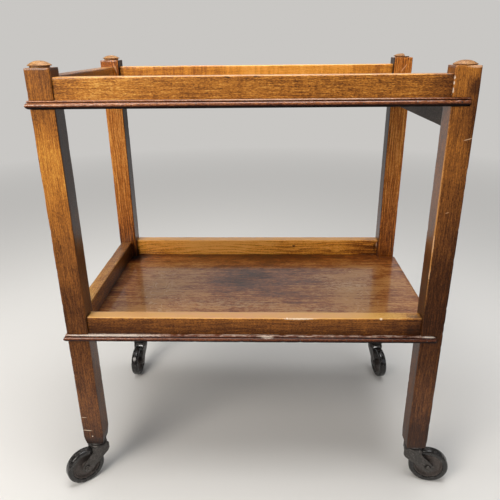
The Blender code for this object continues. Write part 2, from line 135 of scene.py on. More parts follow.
def carve(piece, cutters, operation="DIFFERENCE"):
    """Cut the cutters out of a piece, or join them to it, and take them away."""
    for cutter in cutters:
        step = piece.modifiers.new("cut", "BOOLEAN")
        step.operation = operation
        step.solver = "EXACT"
        step.object = cutter
    settle(piece)
    for cutter in cutters:
        bpy.data.objects.remove(cutter, do_unlink=True)


def round_edges(piece, width, degrees=40):
    """Round every edge that turns by more than `degrees`."""
    step = piece.modifiers.new("edges", "BEVEL")
    step.width = width
    step.segments = 2
    step.limit_method = "ANGLE"
    step.angle_limit = math.radians(degrees)
    return settle(piece)


def tidy(mesh):
    """Join points that lie on each other, and turn the faces outwards."""
    bm = bmesh.new()
    bm.from_mesh(mesh)
    bmesh.ops.remove_doubles(bm, verts=bm.verts, dist=SAME)
    bmesh.ops.recalc_face_normals(bm, faces=bm.faces)
    bm.to_mesh(mesh)
    bm.free()


def fit(piece, body, material, nodes=(), sharp=38):
    """Finish a piece: its shading, material, body and the solids it stands for."""
    tidy(piece.data)
    piece.data.shade_smooth()
    piece.data.set_sharp_from_angle(angle=math.radians(sharp))
    if material is not None:
        piece.data.materials.clear()
        piece.data.materials.append(material)
    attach(piece, body)
    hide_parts(*nodes)


def level_of(table, at):
    """Read a table of (place, value) pairs, straight between them."""
    if at <= table[0][0]:
        return table[0][1]
    for (low, before), (high, after) in zip(table, table[1:]):
        if at <= high:
            return before + (after - before) * (at - low) / (high - low)
    return table[-1][1]


def fit_wood(piece, node, slot, timber, low, high, along, seed, tone, edge=None, sharp=38):
    """Store what the wood materials read at each point, and finish the piece as a part of the frame.

    That is the place in the grain in millimetres, the distance to the nearest arris, the piece's seed, and
    the tone of its stain from 0, nearly black, to 1, pale gold, as `tone` gives it for a place. On some
    pieces that tone also holds painted light and shade.
    """
    mesh = piece.data
    middle, half = (low + high) / 2, (high - low) / 2
    order = [along, *(axis for axis in range(3) if axis != along)]
    grain, rims = [], []
    for vertex in mesh.vertices:
        spot = vertex.co - middle
        grain.extend(spot[axis] * MM for axis in order)
        arris = sorted(half[axis] - abs(spot[axis]) for axis in order)[1]
        rims.append((edge(vertex.co) if edge else arris) * MM)
    tones = [tone(vertex.co) for vertex in mesh.vertices]
    mesh.attributes.new("grain", "FLOAT_VECTOR", "POINT").data.foreach_set("vector", grain)
    for key, values in (("edge", rims), ("seed", [seed] * len(rims)), ("tone", tones)):
        mesh.attributes.new(key, "FLOAT", "POINT").data.foreach_set("value", values)
    fit(piece, "frame", timber, [node], sharp)


# shapes

# the steps of a rounded arris, the width of a bar's mesh cells, and how hollow its faces were planed
ARC, CELL, HOLLOWED = 4, 0.005, 0.00016


def faced(name, points, faces):
    """A new piece of these points and faces."""
    mesh = bpy.data.meshes.new(name)
    mesh.from_pydata(points, [], faces)
    tidy(mesh)
    return new_object(name, mesh)


def bridged(rings):
    """The faces between each ring of points and the next. A ring of one point is a pole."""
    faces = []
    for before, after in zip(rings, rings[1:]):
        size = max(len(before), len(after))
        for index in range(size):
            follow = (index + 1) % size
            corners = (before[index % len(before)], before[follow % len(before)],
                       after[follow % len(after)], after[index % len(after)])
            faces.append(tuple(dict.fromkeys(corners)))
    return faces


def bar_mesh(name, low, high, along, easing, seed, step=0.003, end=0.0008, wear=1.0, foot=(1.0, 0.0)):
    """A planed stick with worn arrises, rounded by `easing` on its lower and upper side.

    `foot` is the height over which it tapers at its low end, and by how much on each side.
    """
    middle, half = (low + high) / 2, (high - low) / 2
    first, second = [axis for axis in range(3) if axis != along]
    length = 2 * half[along]
    inner = max(2, round((length - 2 * end) / step))
    stations = [(0.0, end), (end * 0.3, end * 0.29), (end, 0.0)]
    stations += [(end + (length - 2 * end) * at / inner, 0.0) for at in range(1, inner)]
    stations += [(length - end, 0.0), (length - end * 0.3, end * 0.29), (length, end)]
    counts = [max(2, round(2 * half[axis] / CELL)) for axis in (first, second)]
    points, rings = [], []
    for at, inset in stations:
        position = low[along] + at
        shrink = inset + foot[1] * (1 - share_of(at, 0.0, foot[0]))
        halves = [half[axis] - shrink for axis in (first, second)]
        arcs = []
        for turn, (sign_a, sign_b) in enumerate(((1, 1), (-1, 1), (-1, -1), (1, -1))):
            # rubbed over stretches of about 45 mm, and nicked over 9 mm
            spot = Vector((position, turn * 0.31, seed))
            rub = max(0.0, wobble(spot, 0.045, 1)) ** 2 * 2.2
            nick = max(0.0, wobble(spot, 0.009, 2) - 0.28) * 2.4
            radius = easing[sign_b > 0] * (0.85 + 0.25 * wobble(spot, 0.02, 3) + wear * (rub + nick))
            radius = min(radius, min(halves) * 0.6)
            angles = [math.pi / 2 * index / ARC for index in range(ARC + 1)][::sign_a * sign_b]
            arcs.append([(sign_a * (halves[0] - radius + radius * math.cos(angle)),
                          sign_b * (halves[1] - radius + radius * math.sin(angle))) for angle in angles])
        place = len(points)
        for turn, arc in enumerate(arcs):
            start, stop = arc[-1], arcs[(turn + 1) % 4][0]
            face, count = turn % 2, counts[turn % 2]
            for index in range(1, count):
                spot = [start[axis] + (stop[axis] - start[axis]) * index / count for axis in (0, 1)]
                dip = HOLLOWED * (0.5 + 0.5 * wobble((position, spot[0] + turn, spot[1] + seed), 0.05, 4))
                spot[1 - face] -= math.copysign(dip, spot[1 - face])
                arc.append(spot)
            for a, b in arc:
                point = [position] * 3
                point[first] = middle[first] + a
                point[second] = middle[second] + b
                points.append(point)
        rings.append(range(place, len(points)))
    return faced(name, points, [*bridged(rings), tuple(reversed(rings[0])), tuple(rings[-1])])


def plate_mesh(name, low, high, notches, step=0.008, easing=0.0007):
    """A flat board on a grid, with rectangular notches let into its outline."""
    lines = []
    for axis in (0, 1):
        stops = sorted({low[axis], high[axis], *(edge[axis] for notch in notches for edge in notch
                                                 if low[axis] < edge[axis] < high[axis])})
        ticks = [stops[0]]
        for start, stop in zip(stops, stops[1:]):
            count = max(1, round((stop - start) / step))
            ticks += [start + (stop - start) * at / count for at in range(1, count + 1)]
        lines.append(ticks)
    bm = bmesh.new()
    grid = {}

    def corner(i, j):
        if (i, j) not in grid:
            grid[i, j] = bm.verts.new((lines[0][i], lines[1][j], high.z))
        return grid[i, j]

    for i in range(len(lines[0]) - 1):
        for j in range(len(lines[1]) - 1):
            x = (lines[0][i] + lines[0][i + 1]) / 2
            y = (lines[1][j] + lines[1][j + 1]) / 2
            if not any(a[0] < x < b[0] and a[1] < y < b[1] for a, b in notches):
                bm.faces.new((corner(i, j), corner(i + 1, j), corner(i + 1, j + 1), corner(i, j + 1)))
    grown = bmesh.ops.extrude_face_region(bm, geom=bm.faces[:])
    for element in grown["geom"]:
        if isinstance(element, bmesh.types.BMVert):
            element.co.z = low.z
    bmesh.ops.recalc_face_normals(bm, faces=bm.faces)
    mesh = bpy.data.meshes.new(name)
    bm.to_mesh(mesh)
    bm.free()
    return round_edges(new_object(name, mesh), easing)


# a bead's section from its top round to its underside, as shares of its depth and half height:
# a narrow square fillet, a quirk, then the round
BEAD_SECTION = (
    (0.0, 1.0), (0.50, 1.0), (0.66, 0.96), (0.72, 0.84), (0.70, 0.66), (0.58, 0.56), (0.56, 0.50),
    (0.72, 0.44), (0.86, 0.34), (0.95, 0.14), (1.0, -0.10), (0.97, -0.36), (0.87, -0.62), (0.70, -0.84),
    (0.48, -0.96), (0.25, -1.0), (0.0, -1.0))
# painted light and shade up that section, from -1 below to 1 at the top: a painted highlight on the upper
# round, painted shade in the quirk and black painted shade on the underside
BEAD_PAINTED_LIGHT_AND_SHADE = (
    (-1.0, -0.90), (-0.55, -0.75), (-0.35, -0.20), (-0.10, 0.05), (0.25, 0.16), (0.42, 0.04), (0.50, -0.22),
    (0.58, -0.20), (0.68, 0.0), (0.84, 0.08), (0.94, 0.10), (1.0, 0.10))
# the length of bead between one ring of its mesh and the next
BEAD_STEP = 0.0025


def bead_mesh(name, across, height, depth, half, low, high, mitres, along, side, seed, ragged=0.0):
    """A moulded bead: flat back at `across`, bulging towards `side`, its ends mitred where asked.

    Over the last `ragged` metres its wood is splintered.
    """
    count = max(4, round((high - low) / BEAD_STEP))
    points, rings = [], []
    for at in range(count + 1):
        share = at / count
        for index, (out, up) in enumerate(BEAD_SECTION):
            spot = Vector((low + (high - low) * share, index * 0.0006, seed))
            rub = 0.05 * max(0.0, wobble(spot, 0.03, 1))
            nick = 0.14 * max(0.0, wobble(spot, 0.008, 2) - 0.15)
            reach = 1.0 - rub - nick
            if ragged:
                near = share_of(share * (high - low), (high - low) - ragged, high - low)
                reach -= near * (0.08 + 0.60 * max(0.0, wobble((index * 0.24, share * 40, seed), 0.45, 5)))
            far = depth * reach * out
            start, stop = low - mitres[0] * far, high + mitres[1] * far
            if ragged:
                stop -= 0.004 * abs(wobble((index * 0.24, 0.0, seed), 0.5, 6)) + 0.0015 * (1 - reach)
            point = [0.0, 0.0, height + half * min(1.0, reach + 0.04) * up]
            point[along] = start + (stop - start) * share
            point[1 - along] = across + side * far
            points.append(point)
        rings.append(range(len(points) - len(BEAD_SECTION), len(points)))
    return faced(name, points, [*bridged(rings), tuple(rings[0]), tuple(rings[-1])])


def lathe_mesh(name, profile, segments, place, closed=False, jitter=None):
    """Turn (radius, height) points about Z, then put the mesh where `place` says."""
    points, rings = [], []
    for radius, height in profile:
        start = len(points)
        for index in range(segments if radius else 1):
            angle = 2 * math.pi * index / segments
            wide, high = jitter(radius, height, angle) if jitter else (radius, height)
            points.append(place @ Vector((wide * math.cos(angle), wide * math.sin(angle), high)))
        rings.append(range(start, len(points)))
    return faced(name, points, bridged([*rings, rings[0]] if closed else rings))


def arc_points(centre, radius, start, stop, count):
    """Points of an arc in degrees, ends included."""
    angles = [math.radians(start + (stop - start) * at / count) for at in range(count + 1)]
    return [(centre[0] + radius * math.cos(angle), centre[1] + radius * math.sin(angle)) for angle in angles]


def outline_mesh(name, outline, low, high, place):
    """A flat outline in XZ given thickness from y low to y high."""
    count = len(outline)
    points = [place @ Vector((x, y, z)) for y in (low, high) for x, z in outline]
    near, far = range(count), range(count, 2 * count)
    return faced(name, points, [tuple(near), tuple(reversed(far)), *bridged([near, far])])


# materials

def new_material(name):
    """A material with an empty tree, the tree, and the socket that gives the place on the object."""
    made = bpy.data.materials.new(name)
    made.use_nodes = True
    made.node_tree.nodes.clear()
    return made, made.node_tree, add(made.node_tree, "TexCoord").outputs["Object"]


def shaded(made, inputs):
    """End a material with the shader that reads these inputs."""
    add(made.node_tree, "OutputMaterial", (add(made.node_tree, "BsdfPrincipled", inputs),))
    return made


# the sockets of a colour Mix node, which have the same names as its others
FACTOR, UNDER, OVER = 0, 6, 7
# how far apart in the log two sticks are whose seeds differ by 1, in millimetres
LOG_STEP = (731.0, 57.0, 29.0)
# the mean of each layer of the pattern that isn't 0.5
USUAL = {"late": 0.28, "pores": 0.30}
# how raggedly the rubbed strip of an arris ends, how deep the grain's hollows are and how high the varnish
# waves stand, in millimetres
RUB_SPREAD, HOLLOW, WAVE = 5.0, 0.3, 0.8
HANDLED_AND_HIGHLIGHT_TINT = "#dba271"
SCRATCH_TINT = "#e0b888"


def wood(name, look, marks=()):
    """Stained hardwood under an old glossy varnish.

    Growth rings are cut by the stick's faces, fibres and pores run along it, and the arrises are rubbed.
    """
    made, tree, place = new_material(name)
    grain = add(tree, "Attribute", attribute_name="grain").outputs["Vector"]
    edge, seed, tone = (add(tree, "Attribute", attribute_name=key).outputs["Fac"]
                        for key in ("edge", "seed", "tone"))
    shift = add(tree, "VectorMath", {0: LOG_STEP, "Scale": seed}, operation="SCALE")
    board = add(tree, "VectorMath", (grain, shift), operation="ADD")

    def grained(size, along, detail=4.0, rough=0.55, distortion=0.0):
        """Noise whose features are `size` mm across the grain and `along` mm with it."""
        local = add(tree, "Mapping", {"Vector": board, "Scale": (1 / along, 1 / size, 1 / size)})
        return add(tree, "TexNoise", {"Vector": local, "Scale": 1.0, "Detail": detail, "Roughness": rough,
                                      "Distortion": distortion})

    def summed(total, *terms):
        """Add each value times its weight."""
        for value, weight in terms:
            total = add(tree, "Math", (value, weight, total), operation="MULTIPLY_ADD")
        return total

    # rings: the distance from a pith off to one side, bent by slow noise
    pith = add(tree, "VectorMath", (board, (0.0, 1.0, 1.0), (0.0, *look["pith"])), operation="MULTIPLY_ADD")
    radius = add(tree, "VectorMath", (pith,), operation="LENGTH")
    phase = summed(0.0, (radius, 1 / look["ring"]), (grained(45, 260, 2.0), look["bend"]))
    ring = add(tree, "Math", (phase,), operation="FRACT")
    late = add(tree, "Math", (ring, 2.6), operation="POWER")
    streak = grained(look["streak"], look["streak"] * 26, 5.0, 0.62)
    fibre = grained(0.55, 14, 3.0, 0.6)
    # flecks: short light and dark dashes, under 1 mm wide in real wood and drawn coarser so that they show
    fleck = grained(look["fine"], look["fine"] * 3.4, 2.0, 0.75)
    blotch = grained(38, 70, 3.0, 0.5)
    patch = grained(11, 26, 4.0, 0.6)
    # pores: short dashes along the grain, drawn about twice as wide as real ones so that they show
    pores = add(tree, "MapRange", (grained(look["pore"], look["pore"] * 3.4, 2.5, 0.7), 0.50, 0.68))
    # rays: short specks, under 1 mm in real wood and drawn at 1.3 by 2 mm so that they show
    speck = grained(1.3, 2.0, 1.0, 0.7)
    # ripple: bands across the grain, about 8 mm apart
    ripple = grained(60, 6, 2.0, 0.5, 0.6)
    layers = {"late": late, "streaky": streak, "fibre": fibre, "blotch": blotch, "patch": patch,
              "pores": pores, "speck": speck, "fleck": fleck, "ripple": ripple}
    centre = sum(look[key] * USUAL.get(key, 0.5) for key in layers)
    pattern = summed(-centre, *((layer, look[key]) for key, layer in layers.items()))
    # the grain shows less where the stain is dark
    shown = add(tree, "MapRange", (tone, 0.05, 0.55, 0.65, 1.0))
    value = add(tree, "Math", (pattern, shown, tone), operation="MULTIPLY_ADD")
    tint = add(tree, "ValToRGB", (value,), [(at / 4, stop) for at, stop in enumerate(look["stops"])])

    # where the tone passes 1, much handling has left the wood pale and peach-coloured, in patches; on the
    # rails' top edges this paleness is partly a painted highlight
    patchy = add(tree, "MapRange", (patch, 0.36, 0.62, 0.45, 1.0))
    handled_and_highlit = add(tree, "Math", (add(tree, "MapRange", (tone, 1.0, 1.5)), patchy), operation="MULTIPLY")
    # rubbed arrises: the stain is worn through along them, in broken stretches
    far = summed(0.0, (edge, 1.0), (grained(5, 14, 4.0, 0.65), -RUB_SPREAD))
    rubbed = add(tree, "MapRange", (far, look["rub_from"], look["rub_to"], look["rub"], 0.0))
    covers = [(handled_and_highlit, HANDLED_AND_HIGHLIGHT_TINT), (rubbed, look["bare"])]

    if look["scratched"]:
        # hairlines left by plates and cups: bent, in every direction, and thickest in the worn places
        curl = add(tree, "TexNoise", {"Vector": place, "Scale": 34.0, "Detail": 1.0, "Distortion": 1.5})
        off = add(tree, "Math", (curl, 0.5), operation="SUBTRACT")
        off = add(tree, "Math", (off,), operation="ABSOLUTE")
        line = add(tree, "MapRange", (off, 0.006, 0.026, 0.50, 0.0))
        wear = add(tree, "MapRange", (tone, 0.86, 0.96))
        covers.append((add(tree, "Math", (line, wear), operation="MULTIPLY"), SCRATCH_TINT))

    if marks:
        shake = add(tree, "TexNoise", {"Vector": place, "Scale": 420.0, "Detail": 2.0})
    for over, strength, spot, reach, turn in marks:
        # full strength inside an ellipsoid at `spot`, turned about Y, with a broken rim
        turned = (0.0, math.radians(turn), 0.0)
        local = add(tree, "Mapping", (place, spot, turned, reach), vector_type="TEXTURE")
        out = add(tree, "VectorMath", (local,), operation="LENGTH")
        shaken = add(tree, "Math", (shake, 1.3, out), operation="MULTIPLY_ADD")
        factor = add(tree, "MapRange", (shaken, 1.2, 1.75, strength, 0.0))
        if look["scratched"]:
            broken = add(tree, "MapRange", (fleck, 0.42, 0.60))
            factor = add(tree, "Math", (factor, broken), operation="MULTIPLY")
        covers.append((factor, over))
    for factor, over in covers:
        tint = add(tree, "Mix", {FACTOR: factor, UNDER: tint, OVER: over}, data_type="RGBA")

    # the varnish is rough where the tone is darkest, which dulls the painted shade under the beads
    dull = add(tree, "MapRange", (tone, -0.15, 0.08, 0.5, 0.0))
    rough = summed(look["rough"] - 0.15, (streak, 0.16), (patch, 0.14), (rubbed, 0.16), (dull, 1.0))
    hollows = summed(0.0, (pores, -0.7), (fibre, 0.5), (late, -0.3))
    relief = add(tree, "Bump", {"Height": hollows, "Strength": look["relief"], "Distance": HOLLOW / MM})
    waves = summed(0.0, (grained(16, 34, 2.0), 1.0), (patch, 0.25), (pores, -0.03))
    skin = add(tree, "Bump", {"Height": waves, "Strength": look["wave"], "Distance": WAVE / MM})
    # the darker the tone, the duller the varnish, which takes the reflection off painted shade such as the
    # beads' undersides, and its gloss is broken up where it sank in
    clean = add(tree, "MapRange", (tone, 0.0, 0.50, 0.06 * look["coat"], look["coat"]))
    full = add(tree, "MapRange", (fleck, 0.36, 0.60, look["sunk"], 1.0))
    gloss = add(tree, "Math", (clean, full), operation="MULTIPLY")
    return shaded(made, {
        "Base Color": tint, "Roughness": rough, "Normal": relief, "IOR": 1.5, "Specular IOR Level": 0.2,
        "Coat Weight": gloss, "Coat Roughness": look["coat_rough"], "Coat IOR": look["coat_ior"],
        "Coat Normal": skin})


# pith, ring, bend, streak, pore and fine are sizes in millimetres, late and pores darken the pattern, and
# the stops run from the darkest stain to the palest
POST_LOOK = {
    "pith": (34.0, -52.0), "ring": 5.2, "bend": 7.0, "late": -0.07, "streak": 1.4, "streaky": 0.85,
    "fibre": 0.20, "blotch": 0.24, "patch": 0.24, "pore": 1.1, "pores": -0.10, "speck": 0.30, "fine": 1.1,
    "fleck": 0.95, "ripple": 0.08, "rub": 0.7, "rub_from": -3.4, "rub_to": -2.4, "bare": "#c58a4e",
    "rough": 0.42, "relief": 0.35, "wave": 0.25, "coat": 0.8, "coat_rough": 0.16, "coat_ior": 1.5,
    "sunk": 0.75, "scratched": False, "stops": ("#1a0b05", "#42220c", "#7c491b", "#b97428", "#dda74a"),
}
# the rails' pale pinkish bare colour on their rubbed arrises is partly a painted highlight along the top
# arris
RAIL_LOOK = {
    **POST_LOOK, "pith": (-60.0, 41.0), "ring": 4.4, "streaky": 0.90, "pore": 1.2, "pores": -0.14,
    "ripple": 0.20, "rub": 0.8, "bare": "#ecd0b6",
    "stops": ("#1a0b05", "#45230b", "#7e4a19", "#bb7728", "#dca854"),
}
# one rail was sawn from rippled wood, and shows bands across its grain
RIPPLE_LOOK = {
    **RAIL_LOOK, "streaky": 0.25, "speck": 0.20, "fleck": 0.45, "ripple": 0.50, "bare": "#f0cfa8",
    "stops": ("#1a0b05", "#552a0c", "#9c5a1e", "#e29634", "#f5b058"),
}
# the back of the trolley: stripier wood, its growth lines running on unbroken
BACK_LOOK = {
    **POST_LOOK, "pith": (-30.0, 44.0), "ring": 3.2, "late": -0.26, "streak": 1.8, "streaky": 1.20,
    "fine": 1.3, "fleck": 0.75, "speck": 0.25, "ripple": 0.12, "bare": "#e8c8a2",
    "stops": ("#1a0a04", "#45200a", "#824616", "#c27224", "#e6a250"),
}
# the lower back rail: the back's stripes on the rippled rail's paler stops, as painted light
BACK_RAIL_PAINTED_LIGHT_LOOK = {**BACK_LOOK, "stops": RIPPLE_LOOK["stops"]}
PANEL_LOOK = {
    **POST_LOOK, "pith": (0.0, 190.0), "ring": 6.0, "bend": 9.0, "streak": 3.2, "streaky": 1.15,
    "blotch": 0.80, "patch": 0.50, "pore": 1.6, "pores": -0.14, "speck": 0.12, "fine": 2.6, "fleck": 1.10,
    "ripple": 0.0, "rub": 0.3, "rough": 0.34, "coat": 1.0, "coat_rough": 0.11, "coat_ior": 1.55,
    "sunk": 0.45, "wave": 0.10, "relief": 0.2, "scratched": True,
    "stops": ("#140805", "#381709", "#6c3412", "#a05a22", "#c98f50"),
}
BEAD_LOOK = {
    **POST_LOOK, "pith": (20.0, 18.0), "ring": 2.6, "streak": 1.6, "streaky": 0.34, "pore": 1.2,
    "ripple": 0.0, "bare": "#dcc4b0", "rub_from": -3.2, "rub_to": -2.2, "rough": 0.38, "coat": 0.9,
    "coat_rough": 0.10,
    "stops": ("#140805", "#3a1a0e", "#6e3b20", "#a56a3e", "#cf9f7c"),
}
CAP_LOOK = {
    **POST_LOOK, "pith": (12.0, 9.0), "ring": 2.2, "pore": 1.0, "ripple": 0.0, "rub": 0.5, "bare": "#cfa27a",
    "rough": 0.50, "coat": 0.35, "coat_rough": 0.25,
    "stops": ("#2a160c", "#5b371e", "#8d6138", "#b98a56", "#d8b68a"),
}
# the apron's dark grey stops are painted shade
APRON_PAINTED_SHADE_LOOK = {
    **RAIL_LOOK, "streaky": 0.2, "rub": 0.3, "bare": "#7d6a5c", "rough": 0.6, "coat": 0.15,
    "coat_rough": 0.3,
    "stops": ("#171310", "#2b2420", "#453b35", "#62554c", "#85766a"),
}

# marks: the colour that shows, how strongly, where, how far each way, and the turn about Y in degrees
POST_MARKS_AND_PAINTED_HIGHLIGHT = (
    ("#d9c3a6", 0.80, (-0.3087, -0.1819, 0.1420), (0.0055, 0.0040, 0.0008), 0),
    ("#d9c3a6", 0.85, (-0.3066, -0.1819, 0.1131), (0.0095, 0.0040, 0.0009), 5),
    ("#e8dcc6", 0.90, (-0.2994, -0.1819, 0.0998), (0.0012, 0.0030, 0.0012), 0),
    # rubbed pale along the front right post's left arris, and partly a painted highlight there
    ("#d0924e", 0.75, (0.2690, -0.1812, 0.5200), (0.0013, 0.0030, 0.1500), 0),
    ("#dcb088", 0.65, (0.2690, -0.1815, 0.4740), (0.0013, 0.0030, 0.0170), 0),
    ("#dcb088", 0.65, (0.2688, -0.1815, 0.4240), (0.0013, 0.0030, 0.0090), 0),
    ("#ecd9c4", 0.70, (0.2690, -0.1800, 0.7150), (0.0009, 0.0040, 0.0028), 0),
    ("#ecd9c4", 0.70, (0.2690, -0.1800, 0.7080), (0.0008, 0.0040, 0.0026), 0),
    ("#ecd9c4", 0.70, (0.2690, -0.1800, 0.6985), (0.0009, 0.0040, 0.0040), 0),
    ("#2a120a", 0.55, (0.2990, -0.1819, 0.7020), (0.0100, 0.0050, 0.0130), 25),
    ("#e2b590", 0.65, (0.2945, -0.1800, 0.7288), (0.0110, 0.0080, 0.0020), 0),
    ("#d8c0a4", 0.70, (0.3040, -0.1812, 0.5860), (0.0011, 0.0030, 0.0090), 0),
    ("#d8c0a4", 0.60, (0.3040, -0.1812, 0.5560), (0.0011, 0.0030, 0.0050), 0),
    ("#d8b48e", 0.85, (0.2986, -0.1819, 0.6325), (0.0080, 0.0040, 0.0007), -16),
    ("#cf9f70", 0.80, (0.2830, -0.1819, 0.5246), (0.0030, 0.0040, 0.0007), -20),
)
BACK_MARKS_AND_PAINTED_SHADOW = (
    # a painted shadow: black on the back left post where it meets the lower tray
    ("#0e0806", 0.85, (-0.2803, 0.1850, 0.3170), (0.0060, 0.0200, 0.0120), 0),
    ("#dba374", 0.80, (0.2884, 0.1696, 0.7123), (0.0095, 0.0040, 0.0010), -55),
    ("#e0a873", 0.60, (-0.2863, 0.1690, 0.7157), (0.0020, 0.0040, 0.0100), -18),
    ("#2a1108", 0.75, (0.0801, 0.1796, 0.3302), (0.0040, 0.0050, 0.0035), 0),
    ("#1c0c06", 0.75, (0.2625, 0.1796, 0.3290), (0.0035, 0.0050, 0.0100), 0),
    ("#d0c6ba", 0.70, (0.2668, 0.1796, 0.3340), (0.0012, 0.0040, 0.0065), 0),
)
RAIL_MARKS_AND_PAINTED_REFLECTION = (
    ("#1c0e06", 0.75, (-0.0380, -0.1785, 0.7180), (0.0060, 0.0040, 0.0012), 6),
    ("#1c0e06", 0.75, (0.0010, -0.1785, 0.7183), (0.0050, 0.0040, 0.0010), -5),
    ("#1a0c06", 0.60, (-0.2800, -0.1780, 0.7050), (0.0009, 0.0060, 0.0170), 0),
    ("#f0d9b8", 0.80, (0.0700, -0.1785, 0.3432), (0.0260, 0.0022, 0.0020), 0),
    # a painted reflection: a grey-brown patch on the lower front rail's top near its right end
    ("#43332c", 0.60, (0.2620, -0.1720, 0.3444), (0.0190, 0.0090, 0.0016), 0),
    ("#f0dcc0", 0.85, (0.2023, -0.1780, 0.3435), (0.0024, 0.0030, 0.0022), 0),
    ("#efe0cc", 0.85, (0.0500, -0.1780, 0.3435), (0.0016, 0.0030, 0.0022), 0),
    ("#2b170d", 0.60, (0.2510, -0.1784, 0.3215), (0.0060, 0.0040, 0.0080), 20),
    ("#1c0e08", 0.80, (-0.2790, -0.1690, 0.3430), (0.0018, 0.0120, 0.0040), 0),
)
PANEL_MARKS = (
    ("#d9ae80", 0.75, (0.1720, 0.0150, 0.3090), (0.0460, 0.0260, 0.0080), 0),
    ("#d4a878", 0.60, (0.1330, 0.0560, 0.3090), (0.0330, 0.0170, 0.0080), 0),
    ("#c39b6e", 0.60, (-0.0500, -0.0620, 0.3090), (0.1050, 0.0210, 0.0080), 0),
    ("#c0966a", 0.45, (0.0900, -0.0850, 0.3090), (0.0900, 0.0200, 0.0080), 0),
)
# pale rubbed marks on the beads' tops, partly painted highlights
BEAD_WEAR_AND_HIGHLIGHT_MARKS = (
    ("#eadfd0", 0.60, (-0.2400, -0.1840, 0.3130), (0.0850, 0.0060, 0.0014), 0),
    ("#e4d2c0", 0.60, (0.0180, -0.1850, 0.3120), (0.0120, 0.0060, 0.0030), 0),
    ("#eadfd0", 0.50, (0.2830, -0.1840, 0.3130), (0.0170, 0.0060, 0.0012), 0),
    ("#d9b294", 0.45, (0.0500, -0.1840, 0.6884), (0.2000, 0.0060, 0.0012), 0),
)

# beech posts, stained dark brown and varnished: brown under a gloss, golden partway up, partly stain and
# partly painted light, and darker under the trays by painted shade
POST_WOOD = wood("beech_posts_stained_brown_and_varnished", POST_LOOK, POST_MARKS_AND_PAINTED_HIGHLIGHT)
# beech rails, the same stain put on thinner: golden brown, with short dark flecks
RAIL_WOOD = wood("beech_rails_stained_golden_and_varnished", RAIL_LOOK, RAIL_MARKS_AND_PAINTED_REFLECTION)
# the same beech at the back, chosen with less care: stripes of gold and brown
BACK_WOOD = wood("beech_back_stained_golden_and_varnished", BACK_LOOK, BACK_MARKS_AND_PAINTED_SHADOW)
# the lower back rail, painted paler as painted light for the glow on it: orange gold with brown stripes
BACK_RAIL_PAINTED_LIGHT_WOOD = wood("beech_lower_back_rail_varnished_with_painted_light", BACK_RAIL_PAINTED_LIGHT_LOOK, BACK_MARKS_AND_PAINTED_SHADOW)
# beech with a ripple figure: pale bands across a golden rail
RIPPLE_WOOD = wood("beech_rail_rippled_and_varnished", RIPPLE_LOOK)
# veneered board, stained red and polished: dark, with a soft mirror of what stands round it
PANEL_WOOD = wood("beech_panels_stained_red_and_french_polished", PANEL_LOOK, PANEL_MARKS)
# small moulding, stained darkest and knocked pale on its round, with a painted highlight on the round and
# painted shade in the quirk and underneath
BEAD_WOOD = wood("beech_beads_moulded_stained_and_rubbed", BEAD_LOOK, BEAD_WEAR_AND_HIGHLIGHT_MARKS)
# turned buttons, most of the stain worn off by hands
CAP_WOOD = wood("beech_caps_turned_and_worn_bare", CAP_LOOK)
# the member under the open end: dull varnish, painted dark and nearly grey as painted shade under the trays
APRON_PAINTED_SHADE_WOOD = wood("beech_apron_stained_and_left_dull", APRON_PAINTED_SHADE_LOOK)


def metal(name, rough, metallic, *tints, scale=260.0, relief=0.25):
    """Steel or iron with a thin finish: blotched, dusty and rubbed bright in small spots.

    The tints are three of the finish, from dark to pale, and the one that is rubbed through to.
    """
    made, tree, place = new_material(name)
    cloud = add(tree, "TexNoise", {"Vector": place, "Scale": scale, "Detail": 6.0, "Roughness": 0.65})
    grit = add(tree, "TexNoise", {"Vector": place, "Scale": scale * 4.5, "Detail": 4.0})
    tint = add(tree, "ValToRGB", (cloud,), list(zip((0.3, 0.55, 0.75), tints)))
    bare = add(tree, "MapRange", (grit, 0.60, 0.72, 0.0, 0.8))
    tint = add(tree, "Mix", {FACTOR: bare, UNDER: tint, OVER: tints[3]}, data_type="RGBA")
    level = add(tree, "Math", (cloud, 0.35, rough - 0.17), operation="MULTIPLY_ADD")
    bump = add(tree, "Bump", {"Height": grit, "Strength": relief, "Distance": 0.0002})
    return shaded(made, {"Base Color": tint, "Roughness": level, "Metallic": metallic, "Normal": bump})


# blackened pressed steel: dark and dull, with a cold sheen where it is rubbed
HORN_STEEL = metal("steel_pressed_and_blackened", 0.40, 0.6, "#353231", "#4f4b48", "#7c7671", "#6d6a68")
# turned steel: greyer, with brighter rubbed spots
PIN_STEEL = metal("steel_turned_and_dulled", 0.34, 0.9, "#3a3735", "#5a5653", "#7f7a75", "#a8a39e")
# steel washer painted black, with hardly any shine, as painted shade in the gap between the stem's flange
# and the horn
PAINTED_SHADE_STEEL = metal("steel_washer_painted_black_as_shade", 0.55, 0.2,
                     "#0b0a0a", "#131211", "#1e1c1a", "#262321")
# zinc-plated screws: pale grey under the panels
SCREW_STEEL = metal("steel_screws_plated_and_tarnished", 0.40, 1.0,
                    "#5a5650", "#807a72", "#a09a90", "#b8b2a8")
# painted iron discs: a dull, warm dark brown, paler where dust lies and where they are scuffed
DISC_IRON = metal("iron_disc_cast_and_painted_brown", 0.42, 0.25,
                  "#38302d", "#4d4541", "#6a5f59", "#80736a", scale=180.0, relief=0.4)


